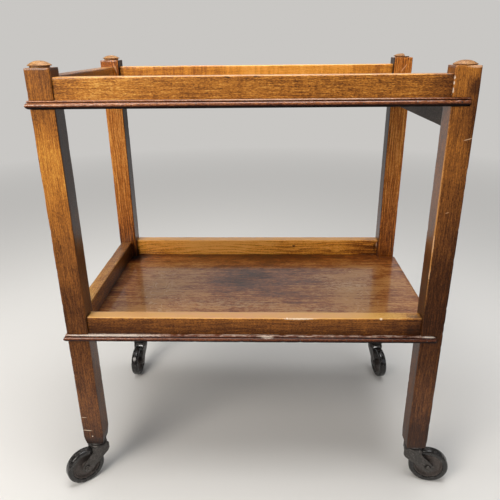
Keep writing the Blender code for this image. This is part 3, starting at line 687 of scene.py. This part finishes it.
def rubber(name):
    """Moulded black rubber, polished by the floor: smooth gloss, with dust in shallow scuffs."""
    made, tree, place = new_material(name)
    dust = add(tree, "TexNoise", {"Vector": place, "Scale": 150.0, "Detail": 6.0, "Roughness": 0.7})
    tint = add(tree, "ValToRGB", (dust,), [(0.35, "#161514"), (0.55, "#272524"), (0.75, "#5a5552")])
    level = add(tree, "MapRange", (dust, 0.40, 0.70, 0.10, 0.45))
    bump = add(tree, "Bump", {"Height": dust, "Strength": 0.15, "Distance": 0.0003})
    return shaded(made, {"Base Color": tint, "Roughness": level, "IOR": 1.52, "Normal": bump})


TYRE_RUBBER = rubber("rubber_moulded_black_and_polished_by_use")


# posts and caps

SIDES = ("front", "back", "left")
post_box = {corner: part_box(f"post_{corner}") for corner in CORNERS}
groove_box = {(level, side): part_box(f"{level}_bead_{side}") for level in LEVELS for side in SIDES}

FOOT_RISE = 0.018
FOOT_TAPER = {"front_left": 0.0026, "front_right": 0.0008, "back_left": 0.0008, "back_right": 0.0008}
POST_EASING = (0.0015, 0.0015)
POST_STEP = 0.0025
# how far a cutter reaches past what it cuts
PAST = 0.01
# the tone up each post: its stain, with painted light partway up and painted shade darkening it under each
# tray
POST_TONE_AND_PAINTED_LIGHT = {
    "front_left": ((0.08, 0.00), (0.10, 0.25), (0.16, 0.40), (0.26, 0.35), (0.36, 0.30), (0.50, 0.55),
                   (0.62, 0.75), (0.66, 0.55), (0.73, 0.50)),
    "front_right": ((0.08, 0.15), (0.11, 0.20), (0.20, 0.35), (0.36, 0.20), (0.48, 0.35), (0.62, 0.55),
                    (0.66, 0.45), (0.73, 0.65)),
    "back_left": ((0.08, 0.20), (0.30, 0.20), (0.40, 0.60), (0.60, 0.80), (0.73, 0.55)),
    "back_right": ((0.08, 0.25), (0.30, 0.35), (0.40, 0.60), (0.60, 0.75), (0.73, 0.60)),
}
# the faces that look along the trays are painted darker than the fronts, as painted shade: how light they
# are
POST_SIDE_PAINTED_SHADE = {"front_left": 0.12, "front_right": 0.42, "back_left": 0.03, "back_right": 0.08}
# from here up, a strip of a front post's inward side next to its front face, beside the end of a bead or
# rail, is left out of that painted shade
RAIL_FOOT = groove_box["top", "front"][0].z


def post_tone(corner, spot):
    """The tone on a post: its front and back by height, with painted shade under the trays, and its inward
    side darkened by painted shade.
    """
    low, high = post_box[corner]
    inward = high.x - spot.x if "left" in corner else spot.x - low.x
    side = share_of(-inward, -0.0008, -0.0003)
    if "front" in corner and spot.z > RAIL_FOOT:
        side *= share_of(spot.y - low.y, 0.002, 0.0045)
    level = level_of(POST_TONE_AND_PAINTED_LIGHT[corner], spot.z)
    if corner == "front_right":
        # hands have left this post grimy on its right, below its top
        grimy = share_of(-spot.z, -0.725, -0.700) * (0.06 + 0.14 * share_of(spot.z, 0.58, 0.63))
        level -= grimy * share_of(spot.x, (low.x + high.x) / 2, high.x)
    # the inward side's darker tone is painted shade, a little lighter low down
    least = POST_SIDE_PAINTED_SHADE[corner] + 0.24 * share_of(-spot.z, -0.60, -0.36)
    return level + (min(level, least) - level) * side


def groove(level, side, corner):
    """The slot in a post that the bead is let into."""
    bead_low, bead_high = groove_box[level, side]
    around = Vector((PAST, PAST, 0.0))
    low, high = post_box[corner][0] - around, post_box[corner][1] + around
    low.z, high.z = bead_low.z - GAP, bead_high.z + GAP
    high.x = min(high.x, bead_high.x + GAP)
    if side == "front":
        high.y = bead_high.y + GAP
    if side == "back":
        low.y = bead_low.y - GAP
    return block(low, high)


for index, corner in enumerate(CORNERS):
    low, high = post_box[corner]
    piece = bar_mesh(f"wood_post_{corner}", low, high, 2, POST_EASING, 1.7 + index, POST_STEP,
                     foot=(FOOT_RISE, FOOT_TAPER[corner]))
    carve(piece, [groove(level, side, corner) for level in LEVELS for side in SIDES if side in corner])
    timber = POST_WOOD if "front" in corner else BACK_WOOD
    fit_wood(piece, f"post_{corner}", "post_wood", timber, low, high, 2, index + 1.0,
             lambda spot: post_tone(corner, spot))


CAP_RADIUS, CAP_NECK, CAP_RIM = 0.0165, 0.0138, 0.0009
CAP_DOME = {"front_left": 0.0068, "front_right": 0.0062, "back_left": 0.0062, "back_right": 0.0052}
CAP_TONE = {"front_left": 0.60, "front_right": 0.52, "back_left": 0.55, "back_right": 0.50}
# the stump that is left of a split cap, and the room above it that the cut clears
STUMP, CLEAR = 0.0022, 0.03


def cap_profile(rise, dome, foot):
    """Half section of a turned button: a full dome down to a thin rim, over a smaller neck."""
    rim = rise - dome
    round_top = [(CAP_RADIUS * at / 10 * 0.955, rise - (dome - 0.0016) * (at / 10) ** 2.3)
                 for at in range(11)]
    edge = arc_points((CAP_RADIUS - CAP_RIM, rim + CAP_RIM), CAP_RIM, 55, -85, 6)
    neck = [(CAP_NECK + 0.0008, rim + 0.0001), (CAP_NECK, rim - 0.0003), (CAP_NECK, foot + 0.0004),
            (CAP_NECK + 0.0002, foot), (0.0, foot)]
    return round_top + edge + neck


for index, corner in enumerate(CORNERS):
    low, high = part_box(f"cap_{corner}")
    post_top = post_box[corner][1].z
    centre = Vector(((low.x + high.x) / 2, (low.y + high.y) / 2, post_top))

    def dented(radius, height, angle):
        """A point of the cap, knocked in a little where it is outside the dome's middle."""
        dent = 0.0005 * wobble((math.cos(angle), math.sin(angle), index), 0.7, 3) if radius > 0.012 else 0.0
        return radius + min(0.0, dent), height - abs(dent) * 0.4

    piece = lathe_mesh(f"wood_cap_{corner}", cap_profile(high.z - post_top, CAP_DOME[corner], GAP), 72,
                       Matrix.Translation(centre), jitter=dented)
    if corner == "back_right":
        # the right half of this cap has split off down to a low stump
        cutter = block((centre.x + 0.0008, centre.y - CLEAR, post_top + STUMP),
                       (centre.x + CLEAR, centre.y + CLEAR, post_top + CLEAR))
        for vertex in cutter.data.vertices:
            vertex.co.x += 0.002 * wobble(vertex.co, 0.01, 4)
            vertex.co.z += 0.001 * wobble(vertex.co, 0.012, 5)
        carve(piece, [cutter])
        round_edges(piece, 0.0003, 50)
    fit_wood(piece, f"cap_{corner}", "cap_wood", CAP_WOOD, low, high, 0, index + 11.0,
             lambda spot: CAP_TONE[corner], sharp=50,
             edge=lambda spot: CAP_RADIUS - (spot - centre).xy.length + 0.0004)


# trays

# the rounding of a rail's arrises, lower and upper, and of the end members'
RAIL_EASING = (0.0006, 0.0020)
END_EASING = (0.0009, 0.0009)
# the tone along each rail, along X for front and back, along Y for left: its stain, with painted shade on
# the top left rail and painted light on the lower back rail
RAIL_TONE_AND_PAINTED_LIGHT = {
    "top_rail_front": ((-0.28, 0.55), (-0.22, 0.75), (-0.10, 0.60), (0.22, 0.60), (0.27, 0.30)),
    "top_rail_back": ((-0.12, 0.55), (0.00, 0.75), (0.15, 0.75), (0.25, 0.55)),
    "top_rail_left": ((-0.15, 0.20), (0.00, 0.30), (0.15, 0.55)),
    "lower_rail_front": ((-0.28, 0.30), (-0.10, 0.40), (0.10, 0.40), (0.24, 0.30), (0.27, 0.15)),
    "lower_rail_back": ((-0.24, 0.70), (-0.15, 0.90), (-0.03, 0.90), (0.05, 0.70), (0.18, 0.70),
                        (0.25, 0.45)),
    "lower_rail_left": ((-0.15, 0.60), (0.15, 0.20)),
}
# how much darker painted shade makes a rail's foot than its head
RAIL_PAINTED_SHADE = {"top": 0.0, "lower": 0.24}
# how much paler the top edge of one rail is along X, and of the others: worn by hands, and partly a painted
# highlight
TOP_WEAR_AND_PAINTED_HIGHLIGHT = {"lower_rail_front": ((-0.28, 0.80), (0.0, 1.00), (0.15, 0.80), (0.27, 0.35))}
LITTLE_WEAR_AND_PAINTED_HIGHLIGHT = ((0.0, 0.20),)
APRON_TONE = 0.50
PANEL_TONE = {
    "top": ((0.0, 0.36),),
    "lower": ((-0.30, 0.65), (-0.20, 0.95), (0.0, 0.80), (0.10, 0.80), (0.20, 0.95), (0.30, 0.75)),
}
# patches that damp has darkened, or wear lightened, and on the lower panel painted shade and a painted
# reflection of the back rail along its foot, deepest in the back left corner: middle in X and Y, reach in X
# and Y, and how much
PANEL_PATCHES_AND_PAINTED_SHADE = {
    "top": ((0.10, 0.05, 0.12, 0.06, -0.12), (-0.15, -0.06, 0.10, 0.05, 0.08)),
    "lower": ((-0.060, 0.030, 0.080, 0.040, -0.36), (0.020, 0.070, 0.100, 0.040, -0.32),
              # the back left corner at x -0.281 and the strip along the back at y 0.170 are painted shade
              (0.020, -0.010, 0.070, 0.030, -0.18), (-0.281, 0.160, 0.020, 0.020, -0.60),
              (0.000, 0.170, 0.400, 0.040, -0.48), (-0.200, -0.020, 0.050, 0.060, 0.06)),
}
# below this depth from its face, a panel was never polished
PANEL_FACE, PANEL_UNDER_TONE = 0.004, 0.12
# the stain's tone along each bead, and by how much the rubbed strip of the top ones is narrower
BEAD_TONE = {
    "top": ((-0.31, 0.55), (0.0, 0.45), (0.30, 0.40)),
    "lower": ((-0.31, 0.34), (0.0, 0.30), (0.30, 0.24)),
}
BEAD_SPARED = {"top": 0.0005, "lower": 0.0}
# how long the splintered end of the top front bead is, and the frayed end of the others
SPLINTERED, FRAYED = 0.034, 0.006
# the seeds of each side's beads, top and lower
BEAD_SEEDS = {"front": (60.0, 65.0), "back": (62.0, 67.0), "left": (71.0, 72.0)}


def panel_tone(level, spot, top):
    """The tone on a panel: its stain with its patches and painted shade; its underside was never polished.
    """
    if spot.z < top - PANEL_FACE:
        return PANEL_UNDER_TONE
    patches = sum(much * math.exp(-((spot.x - x) / wide) ** 2 - ((spot.y - y) / deep) ** 2)
                  for x, y, wide, deep, much in PANEL_PATCHES_AND_PAINTED_SHADE[level])
    return level_of(PANEL_TONE[level], spot.x) + patches


# the corners of the room between the posts, seen from above
inner_low = Vector((post_box["front_left"][1].x + GAP, post_box["front_left"][1].y + GAP, 0.0))
inner_high = Vector((post_box["front_right"][0].x - GAP, post_box["back_left"][0].y - GAP, 0.0))


def between_posts(node, along):
    """A node's box, cut to the room between the posts."""
    low, high = (Vector(corner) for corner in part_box(node))
    low[along], high[along] = inner_low[along], inner_high[along]
    return low, high


for count, level in enumerate(LEVELS):
    for number, side in enumerate(SIDES):
        node = f"{level}_rail_{side}"
        along = 1 if side == "left" else 0
        low, high = between_posts(node, along)
        seed = 21.0 + count * 7 + number
        piece = bar_mesh(f"wood_{node}", low, high, along, RAIL_EASING, seed, end=0.0004, wear=0.5)
        tones, wear = RAIL_TONE_AND_PAINTED_LIGHT[node], TOP_WEAR_AND_PAINTED_HIGHLIGHT.get(node, LITTLE_WEAR_AND_PAINTED_HIGHLIGHT)
        timber = {"top_rail_back": RIPPLE_WOOD, "lower_rail_back": BACK_RAIL_PAINTED_LIGHT_WOOD}.get(node, RAIL_WOOD)
        fit_wood(piece, node, "rail_wood", timber, low, high, along, seed, lambda spot:
                 level_of(tones, spot[along]) + RAIL_PAINTED_SHADE[level] * (share_of(spot.z, low.z, high.z) - 0.5)
                 + level_of(wear, spot[along]) * share_of(spot.z, high.z - 0.0016, high.z - 0.0004))

    node = {"top": "top_apron_right", "lower": "lower_batten_right"}[level]
    low, high = between_posts(node, 1)
    piece = bar_mesh(f"wood_{node}", low, high, 1, END_EASING, 41.0 + count, end=0.0004)
    fit_wood(piece, node, "rail_wood", APRON_PAINTED_SHADE_WOOD, low, high, 1, 41.0 + count, lambda spot: APRON_TONE)

    low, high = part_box(f"{level}_panel")
    west, east = (low.x - PAST, inner_low.x), (inner_high.x, high.x + PAST)
    south, north = (low.y - PAST, inner_low.y), (inner_high.y, high.y + PAST)
    notches = [tuple(zip(across, deep)) for deep in (south, north) for across in (west, east)]
    piece = plate_mesh(f"wood_{level}_panel", low, high, notches)
    fit_wood(piece, f"{level}_panel", "panel_wood", PANEL_WOOD, low, high, 0, 51.0 + count,
             lambda spot: panel_tone(level, spot, high.z))

    bead_low, bead_high = groove_box[level, "front"]
    height, half = (bead_low.z + bead_high.z) / 2, (bead_high.z - bead_low.z) / 2
    depth = bead_high.y - bead_low.y
    back_y = {"front": bead_high.y, "back": groove_box[level, "back"][0].y}
    back_x = groove_box[level, "left"][1].x
    longs, lefts = (back_x + GAP, bead_high.x), (back_y["front"] + GAP, back_y["back"] - GAP)
    splintered = SPLINTERED if level == "top" else FRAYED
    # each bead's back, its ends, their mitres, its axis, the side it bulges to and how far it is splintered
    for side, across, ends, mitres, along, sign, ragged in (
            ("front", back_y["front"], longs, (1, 0), 0, -1, splintered),
            ("back", back_y["back"], longs, (1, 0), 0, 1, FRAYED),
            ("left", back_x, lefts, (1, 1), 1, -1, 0.0)):
        node, seed = f"{level}_bead_{side}", BEAD_SEEDS[side][count]
        piece = bead_mesh(f"wood_{node}", across, height, depth, half, *ends, mitres, along, sign, seed,
                          ragged)
        tones = BEAD_TONE[level][:1] if side == "left" else BEAD_TONE[level]
        fit_wood(piece, node, "bead_wood", BEAD_WOOD, *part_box(node), along, seed, lambda spot:
                 level_of(tones, spot.x) + level_of(BEAD_PAINTED_LIGHT_AND_SHADE, (spot.z - height) / half), sharp=60,
                 edge=lambda spot: half - (spot.z - height) + BEAD_SPARED[level])


# castors

TRAIL, WHEEL_HIGH = 0.0297, 0.0347
HUB = Matrix.Translation((TRAIL, 0.0, WHEEL_HIGH)) @ Matrix.Rotation(-math.pi / 2, 4, "X")


def mirrored(half):
    """A turned profile from its upper half, which is turned over for the lower."""
    return half + [(radius, -height) for radius, height in reversed(half)]


def bent_cheek(side, place):
    """One cheek of the horn, from the crown's skirt down to the axle's eye."""
    eye = arc_points((TRAIL, WHEEL_HIGH), 0.0099, 47, -125, 20)
    front = arc_points((0.0125, 0.0686), 0.0034, 85, 0, 5)
    rear = arc_points((-0.0125, 0.0686), 0.0034, 180, 95, 5)
    outline = [(-0.0100, 0.0726), (0.0100, 0.0726), *front, (0.0159, 0.0612), *eye,
               (-0.0128, 0.0522), (-0.0159, 0.0582), *rear]
    inner_face, outer_face = sorted((side * 0.0094, side * 0.0116))
    return outline_mesh("cheek", outline, inner_face, outer_face, place)


def horn_mesh(name, place):
    """The pressed horn: a round crown with a rolled shoulder, and two cheeks for the wheel."""
    crown = [(0.0041, 0.0740), (0.0128, 0.0740), *arc_points((0.0128, 0.0708), 0.0032, 85, 0, 7),
             (0.0160, 0.0631), (0.0138, 0.0631), (0.0138, 0.0705), (0.0126, 0.0718), (0.0041, 0.0718)]
    piece = lathe_mesh(name, crown, 48, place, closed=True)
    carve(piece, [bent_cheek(-1, place), bent_cheek(1, place)], "UNION")
    carve(piece, [lathe_mesh("room", mirrored([(0.0, 0.0087), (0.0372, 0.0087)]), 64, place @ HUB)])
    carve(piece, [lathe_mesh("bore", mirrored([(0.0, 0.02), (0.0035, 0.02)]), 32, place @ HUB)])
    return round_edges(piece, 0.00035)


# the axle's two heads, with a hollow in the middle of each
SEAT, HEAD = 0.0119, 0.0143
AXLE = mirrored([(0.0, HEAD - 0.0007), (0.0018, HEAD - 0.0006), (0.0024, HEAD), (0.0036, HEAD),
                 *arc_points((0.0040, HEAD - 0.0015), 0.0015, 80, 5, 5), (0.0055, SEAT), (0.0034, SEAT)])
# the disc's hub, its thin web and the flange that holds the tyre
DISC = mirrored([(0.0035, 0.0091), (0.0070, 0.0091), (0.0075, 0.0086), (0.0077, 0.0044), (0.0086, 0.0031),
                 (0.0120, 0.0026), (0.0180, 0.0020), (0.0215, 0.0019), (0.0224, 0.0026), (0.0229, 0.0052),
                 (0.0235, 0.0058), (0.0250, 0.0059), (0.0254, 0.0055)])
# the tyre's lip at the disc, its side and its crowned tread
TYRE = mirrored([(0.0257, 0.0060), *arc_points((0.0267, 0.0063), 0.0010, 180, 100, 4), (0.0300, 0.0075),
                 *arc_points((0.0309, 0.0038), 0.0037, 90, 15, 9), (0.0346, 0.0016)])


def stem_profile(foot):
    """The turned stem: its shank up in the post, its flange under the foot, and its riveted pintle."""
    return [(0.0, foot + 0.038), (0.0024, foot + 0.038), (0.0044, foot + 0.035), (0.0044, foot - GAP),
            (0.0148, foot - GAP), (0.0155, foot - 0.0009), (0.0155, foot - 0.0028), (0.0149, foot - 0.0035),
            (0.0040, foot - 0.0035), (0.0040, 0.0715), (0.0068, 0.0715), (0.0062, 0.0704), (0.0044, 0.0699),
            (0.0, 0.0699)]


def washer_profile(low, high):
    """A flat washer with its outer edges broken."""
    return [(0.0100, high), (0.0105, high - 0.0004), (0.0105, low + 0.0004), (0.0100, low), (0.0043, low),
            (0.0043, high)]


joints = {joint["name"]: joint for joint in frame["joints"]}
for corner in CORNERS:
    x, y, _ = joints[f"{corner}_swivel"]["pos_m"]
    spin = joints[f"{corner}_roll"]["axis"]
    upright = Matrix.Translation((x, y, 0.0))
    stand = upright @ Matrix.Rotation(math.atan2(-spin[0], spin[1]), 4, "Z")
    hub = stand @ HUB
    castor, wheel = f"castor_{corner}", f"wheel_{corner}"
    washer = washer_profile(*(end.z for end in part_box(f"{castor}_washer")))
    stem = stem_profile(post_box[corner][0].z)

    piece = horn_mesh(f"steel_{castor}_horn", stand)
    fit(piece, castor, HORN_STEEL, [f"{castor}_horn"], sharp=32)
    for label, node, body, slot, material, profile, segments, place, closed, sharp in (
            (f"steel_{castor}_axle", "axle", castor, "castor_steel", PIN_STEEL, AXLE, 40, hub, False, 38),
            (f"iron_{castor}_disc", "wheel", wheel, "wheel_disc", DISC_IRON, DISC, 96, hub, True, 45),
            (f"rubber_{castor}_tyre", "tyre", wheel, "tyre_rubber", TYRE_RUBBER, TYRE, 112, hub, True, 60),
            (f"steel_{castor}_stem", "stem", "frame", "castor_steel", HORN_STEEL, stem, 48, upright,
             False, 38),
            (f"steel_{castor}_washer", "washer", "frame", "castor_steel", PAINTED_SHADE_STEEL, washer, 40, upright,
             True, 38)):
        piece = lathe_mesh(label, profile, segments, place, closed)
        fit(piece, body, material, [f"{castor}_{node}"], sharp)


# screws and pins

FULL_TURN = 6.28318


def point_cloud(name, places):
    """Loose points that each know which way their fixing faces."""
    mesh = bpy.data.meshes.new(name)
    mesh.from_pydata([place for place, _ in places], [], [])
    aims = [value for _, aim in places for value in aim]
    mesh.attributes.new("aim", "FLOAT_VECTOR", "POINT").data.foreach_set("vector", aims)
    return new_object(name, mesh)


def new_tree(name, sizes, seed):
    """A tree with named inputs for its sizes, its seed and its material."""
    tree = bpy.data.node_groups.new(name, "GeometryNodeTree")
    socket = tree.interface.new_socket
    socket("Geometry", in_out="INPUT", socket_type="NodeSocketGeometry")
    for label, value in sizes.items():
        socket(label, in_out="INPUT", socket_type="NodeSocketFloat").default_value = value
    socket("Seed", in_out="INPUT", socket_type="NodeSocketInt").default_value = seed
    socket("Material", in_out="INPUT", socket_type="NodeSocketMaterial")
    socket("Geometry", in_out="OUTPUT", socket_type="NodeSocketGeometry")
    return tree, add(tree, "NodeGroupInput").outputs


def stand_on(tree, given, item):
    """Stand a copy of the item on every point, aimed and spun, and make it plain mesh."""
    aim = add(tree, "GeometryNodeInputNamedAttribute", {"Name": "aim"}, data_type="FLOAT_VECTOR")
    aimed = add(tree, "FunctionNodeAlignEulerToVector", {"Vector": aim}, axis="Z")
    spin = add(tree, "FunctionNodeRandomValue", {3: FULL_TURN, "Seed": given["Seed"]}, data_type="FLOAT")
    upward = (0.0, 0.0, 1.0)
    turned = add(tree, "FunctionNodeRotateEuler", {"Rotation": aimed, "Axis": upward, "Angle": spin},
                 rotation_type="AXIS_ANGLE", space="LOCAL")
    placed = add(tree, "GeometryNodeInstanceOnPoints",
                 {"Points": given["Geometry"], "Instance": item, "Rotation": turned})
    real = add(tree, "GeometryNodeRealizeInstances", (placed,))
    done = add(tree, "GeometryNodeSetMaterial", {"Geometry": real, "Material": given["Material"]})
    add(tree, "NodeGroupOutput", (done,))


def screw_tree():
    """A countersunk screw head down, with a saw slot across its face."""
    tree, given = new_tree("slotted_screws", {
        "Head Radius": 0.0034, "Head Height": 0.0022, "Shank Radius": 0.0017, "Length": 0.0215,
        "Slot Width": 0.0009, "Slot Depth": 0.0008}, seed=5)
    head = add(tree, "GeometryNodeMeshCone", {
        "Vertices": 24, "Radius Bottom": given["Head Radius"], "Radius Top": given["Shank Radius"],
        "Depth": given["Head Height"]})
    depth = add(tree, "Math", (given["Slot Depth"], 2.0), operation="MULTIPLY")
    size = add(tree, "CombineXYZ", {"X": 0.02, "Y": given["Slot Width"], "Z": depth})
    slot = add(tree, "GeometryNodeMeshCube", {"Size": size})
    slotted = add(tree, "GeometryNodeMeshBoolean", {"Mesh 1": head, "Mesh 2": slot}, operation="DIFFERENCE")
    rest = add(tree, "Math", (given["Length"], given["Head Height"]), operation="SUBTRACT")
    shank = add(tree, "GeometryNodeMeshCone", {
        "Vertices": 16, "Radius Bottom": given["Shank Radius"], "Radius Top": 0.0003, "Depth": rest})
    lift = add(tree, "CombineXYZ", {"Z": given["Head Height"]})
    raised = add(tree, "GeometryNodeTransform", {"Geometry": shank, "Translation": lift})
    joined = add(tree, "GeometryNodeJoinGeometry", (raised,))
    tree.links.new(slotted.outputs["Mesh"], joined.inputs[0])
    stand_on(tree, given, joined)
    return tree


def pin_tree():
    """A low domed pin head, a little sunk in the wood."""
    tree, given = new_tree("pin_heads", {"Radius": 0.0011, "Height": 0.0003}, seed=9)
    ball = add(tree, "GeometryNodeMeshIcoSphere", {"Radius": given["Radius"], "Subdivisions": 3})
    flat = add(tree, "Math", (given["Height"], given["Radius"]), operation="DIVIDE")
    scale = add(tree, "CombineXYZ", (1.0, 1.0, flat))
    stand_on(tree, given, add(tree, "GeometryNodeTransform", {"Geometry": ball, "Scale": scale}))
    return tree


def grown(piece, tree, material):
    """Run a tree on a piece and keep the result as plain mesh."""
    step = piece.modifiers.new("fixings", "NODES")
    step.node_group = tree
    sockets = {item.name: item.identifier for item in tree.interface.items_tree if item.in_out == "INPUT"}
    step[sockets["Material"]] = material
    return settle(piece)


screw_nodes = [node for node in frame["nodes"] if "_screw_" in node]
places = []
for node in screw_nodes:
    low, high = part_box(node)
    places.append((((low.x + high.x) / 2, (low.y + high.y) / 2, low.z), (0.0, 0.0, 1.0)))
piece = grown(point_cloud("steel_panel_screws", places), screw_tree(), SCREW_STEEL)
fit(piece, "frame", None, screw_nodes)

random.seed(4)
# where the pins are along half a bead, how far in they are driven, and how unevenly they were placed
PIN_SHARES = (-0.96, -0.76, -0.50, -0.26, 0.0, 0.25, 0.52, 0.76, 0.94)
PIN_SPAN, PIN_MIDDLE = 0.302, -0.0058
PIN_DEPTH = 0.96
PIN_STRAY, PIN_RISE = 0.004, 0.0008
places = []
for level in LEVELS:
    for side, sign in (("front", -1), ("back", 1)):
        low, high = groove_box[level, side]
        out = (high.y - low.y) * PIN_DEPTH
        face = high.y - out if side == "front" else low.y + out
        for share in PIN_SHARES:
            x = share * PIN_SPAN + PIN_MIDDLE + random.uniform(-PIN_STRAY, PIN_STRAY)
            z = (low.z + high.z) / 2 + random.uniform(-PIN_RISE, PIN_RISE)
            places.append(((x, face, z), (0.0, sign, 0.0)))
piece = grown(point_cloud("steel_bead_pins", places), pin_tree(), PIN_STEEL)
fit(piece, "frame", None)


# floor, light and camera

BACKDROP = "#c9c7c4"
# how far out the floor fades into the backdrop, and how far ahead of the trolley the room dims
FADE, AHEAD = (1.0, 3.2), (-0.2, -0.6)
FLOOR_RADIUS = 9.0


def pale_floor():
    """A plain floor that fades into the backdrop. The room in front of the trolley is mirrored as dimmer."""
    floor = new_object("floor", bpy.data.meshes.new("floor"))
    bm = bmesh.new()
    bmesh.ops.create_circle(bm, cap_ends=True, segments=96, radius=FLOOR_RADIUS)
    bm.to_mesh(floor.data)
    bm.free()
    made, tree, place = new_material("floor_plain_pale")
    shader = add(tree, "BsdfPrincipled", {
        "Base Color": "#dfddd9", "Roughness": 0.9, "Specular IOR Level": 0.1})
    path = add(tree, "LightPath").outputs
    fade = add(tree, "MapRange", (add(tree, "VectorMath", (place,), operation="LENGTH"), *FADE))
    mirrors = add(tree, "Math", (path["Is Glossy Ray"], path["Is Transmission Ray"]), operation="ADD")
    seen = add(tree, "Math", (path["Is Camera Ray"], mirrors), operation="ADD")
    factor = add(tree, "Math", (seen, fade), operation="MULTIPLY", use_clamp=True)
    glow = add(tree, "Emission", {"Color": BACKDROP, "Strength": 1.0})
    both = add(tree, "MixShader", (factor, shader, glow))
    ahead = add(tree, "MapRange", (add(tree, "SeparateXYZ", (place,)).outputs["Y"], *AHEAD, 0.0, 0.92))
    dim = add(tree, "Math", (mirrors, ahead), operation="MULTIPLY", use_clamp=True)
    dark = add(tree, "Emission", {"Color": BACKDROP, "Strength": 0.0})
    add(tree, "OutputMaterial", (add(tree, "MixShader", (dim, both, dark)),))
    floor.data.materials.append(made)


def studio_world():
    """Soft light all round, and a backdrop that curves behind the trolley and is dimmer in front of it."""
    world = bpy.data.worlds.new("studio")
    bpy.context.scene.world = world
    world.use_nodes = True
    tree = world.node_tree
    tree.nodes.clear()
    path = add(tree, "LightPath").outputs
    seen = add(tree, "Math", (path["Is Camera Ray"], path["Is Glossy Ray"]), operation="ADD")
    seen = add(tree, "Math", (seen, path["Is Transmission Ray"]), operation="ADD", use_clamp=True)
    way = add(tree, "SeparateXYZ", (add(tree, "TexCoord").outputs["Generated"],)).outputs
    behind = add(tree, "MapRange", (way["Y"], -0.3, 0.3, 0.2))
    middle = add(tree, "MapRange", (add(tree, "Math", (way["X"],), operation="ABSOLUTE"), 0.42, 0.24, 0.3))
    level = add(tree, "Math", (behind, middle), operation="MULTIPLY")
    strength = add(tree, "Math", (path["Is Camera Ray"], level), operation="MAXIMUM")
    light = add(tree, "Background", {"Color": "#f2f3f5", "Strength": 0.30})
    shown = add(tree, "Background", {"Color": BACKDROP, "Strength": strength})
    add(tree, "OutputWorld", (add(tree, "MixShader", (seen, light, shown)),))


def lamps():
    for name, spot, aim, size, power, tint in (
            ("key", (-1.0, -1.35, 1.35), (0.0, 0.0, 0.45), 1.0, 22.0, "#fff8ef"),
            ("fill", (1.9, -1.6, 1.5), (0.0, 0.0, 0.35), 1.6, 5.0, "#f4f6ff"),
            ("over", (0.0, -0.1, 2.2), (0.0, 0.0, 0.3), 1.6, 42.0, "#ffffff")):
        lamp = bpy.data.lights.new(name, "AREA")
        lamp.shape = "DISK"
        lamp.size = size
        lamp.energy = power
        lamp.color = colour(tint)[:3]
        made = new_object(name, lamp)
        made.location = spot
        made.rotation_euler = (Vector(aim) - Vector(spot)).to_track_quat("-Z", "Y").to_euler()


CAMERA_PLACE = (0.014439, -0.913742, 0.7592)
CAMERA_DEGREES = {"pitch": -21.8623, "yaw": -1.8326, "roll": -0.6365}
FOCAL_LENGTH, SENSOR_WIDTH = 36.93, 36.0


def camera():
    """The photograph's own viewpoint: a plain lens a little above the posts' tops, tilted down."""
    lens = bpy.data.cameras.new("camera")
    lens.sensor_width = SENSOR_WIDTH
    lens.lens = FOCAL_LENGTH
    made = new_object("camera", lens)
    pitch, yaw, roll = (math.radians(value) for value in CAMERA_DEGREES.values())
    ahead = Vector((math.sin(yaw) * math.cos(pitch), math.cos(yaw) * math.cos(pitch), math.sin(pitch)))
    level_right = Vector((math.cos(yaw), -math.sin(yaw), 0.0))
    level_up = level_right.cross(ahead)
    right = math.cos(roll) * level_right + math.sin(roll) * level_up
    up = math.cos(roll) * level_up - math.sin(roll) * level_right
    turn = Matrix((right, up, -ahead)).transposed()
    made.matrix_world = Matrix.Translation(CAMERA_PLACE) @ turn.to_4x4()
    bpy.context.scene.camera = made


pale_floor()
studio_world()
lamps()
camera()
bpy.context.scene.view_settings.view_transform = "Standard"
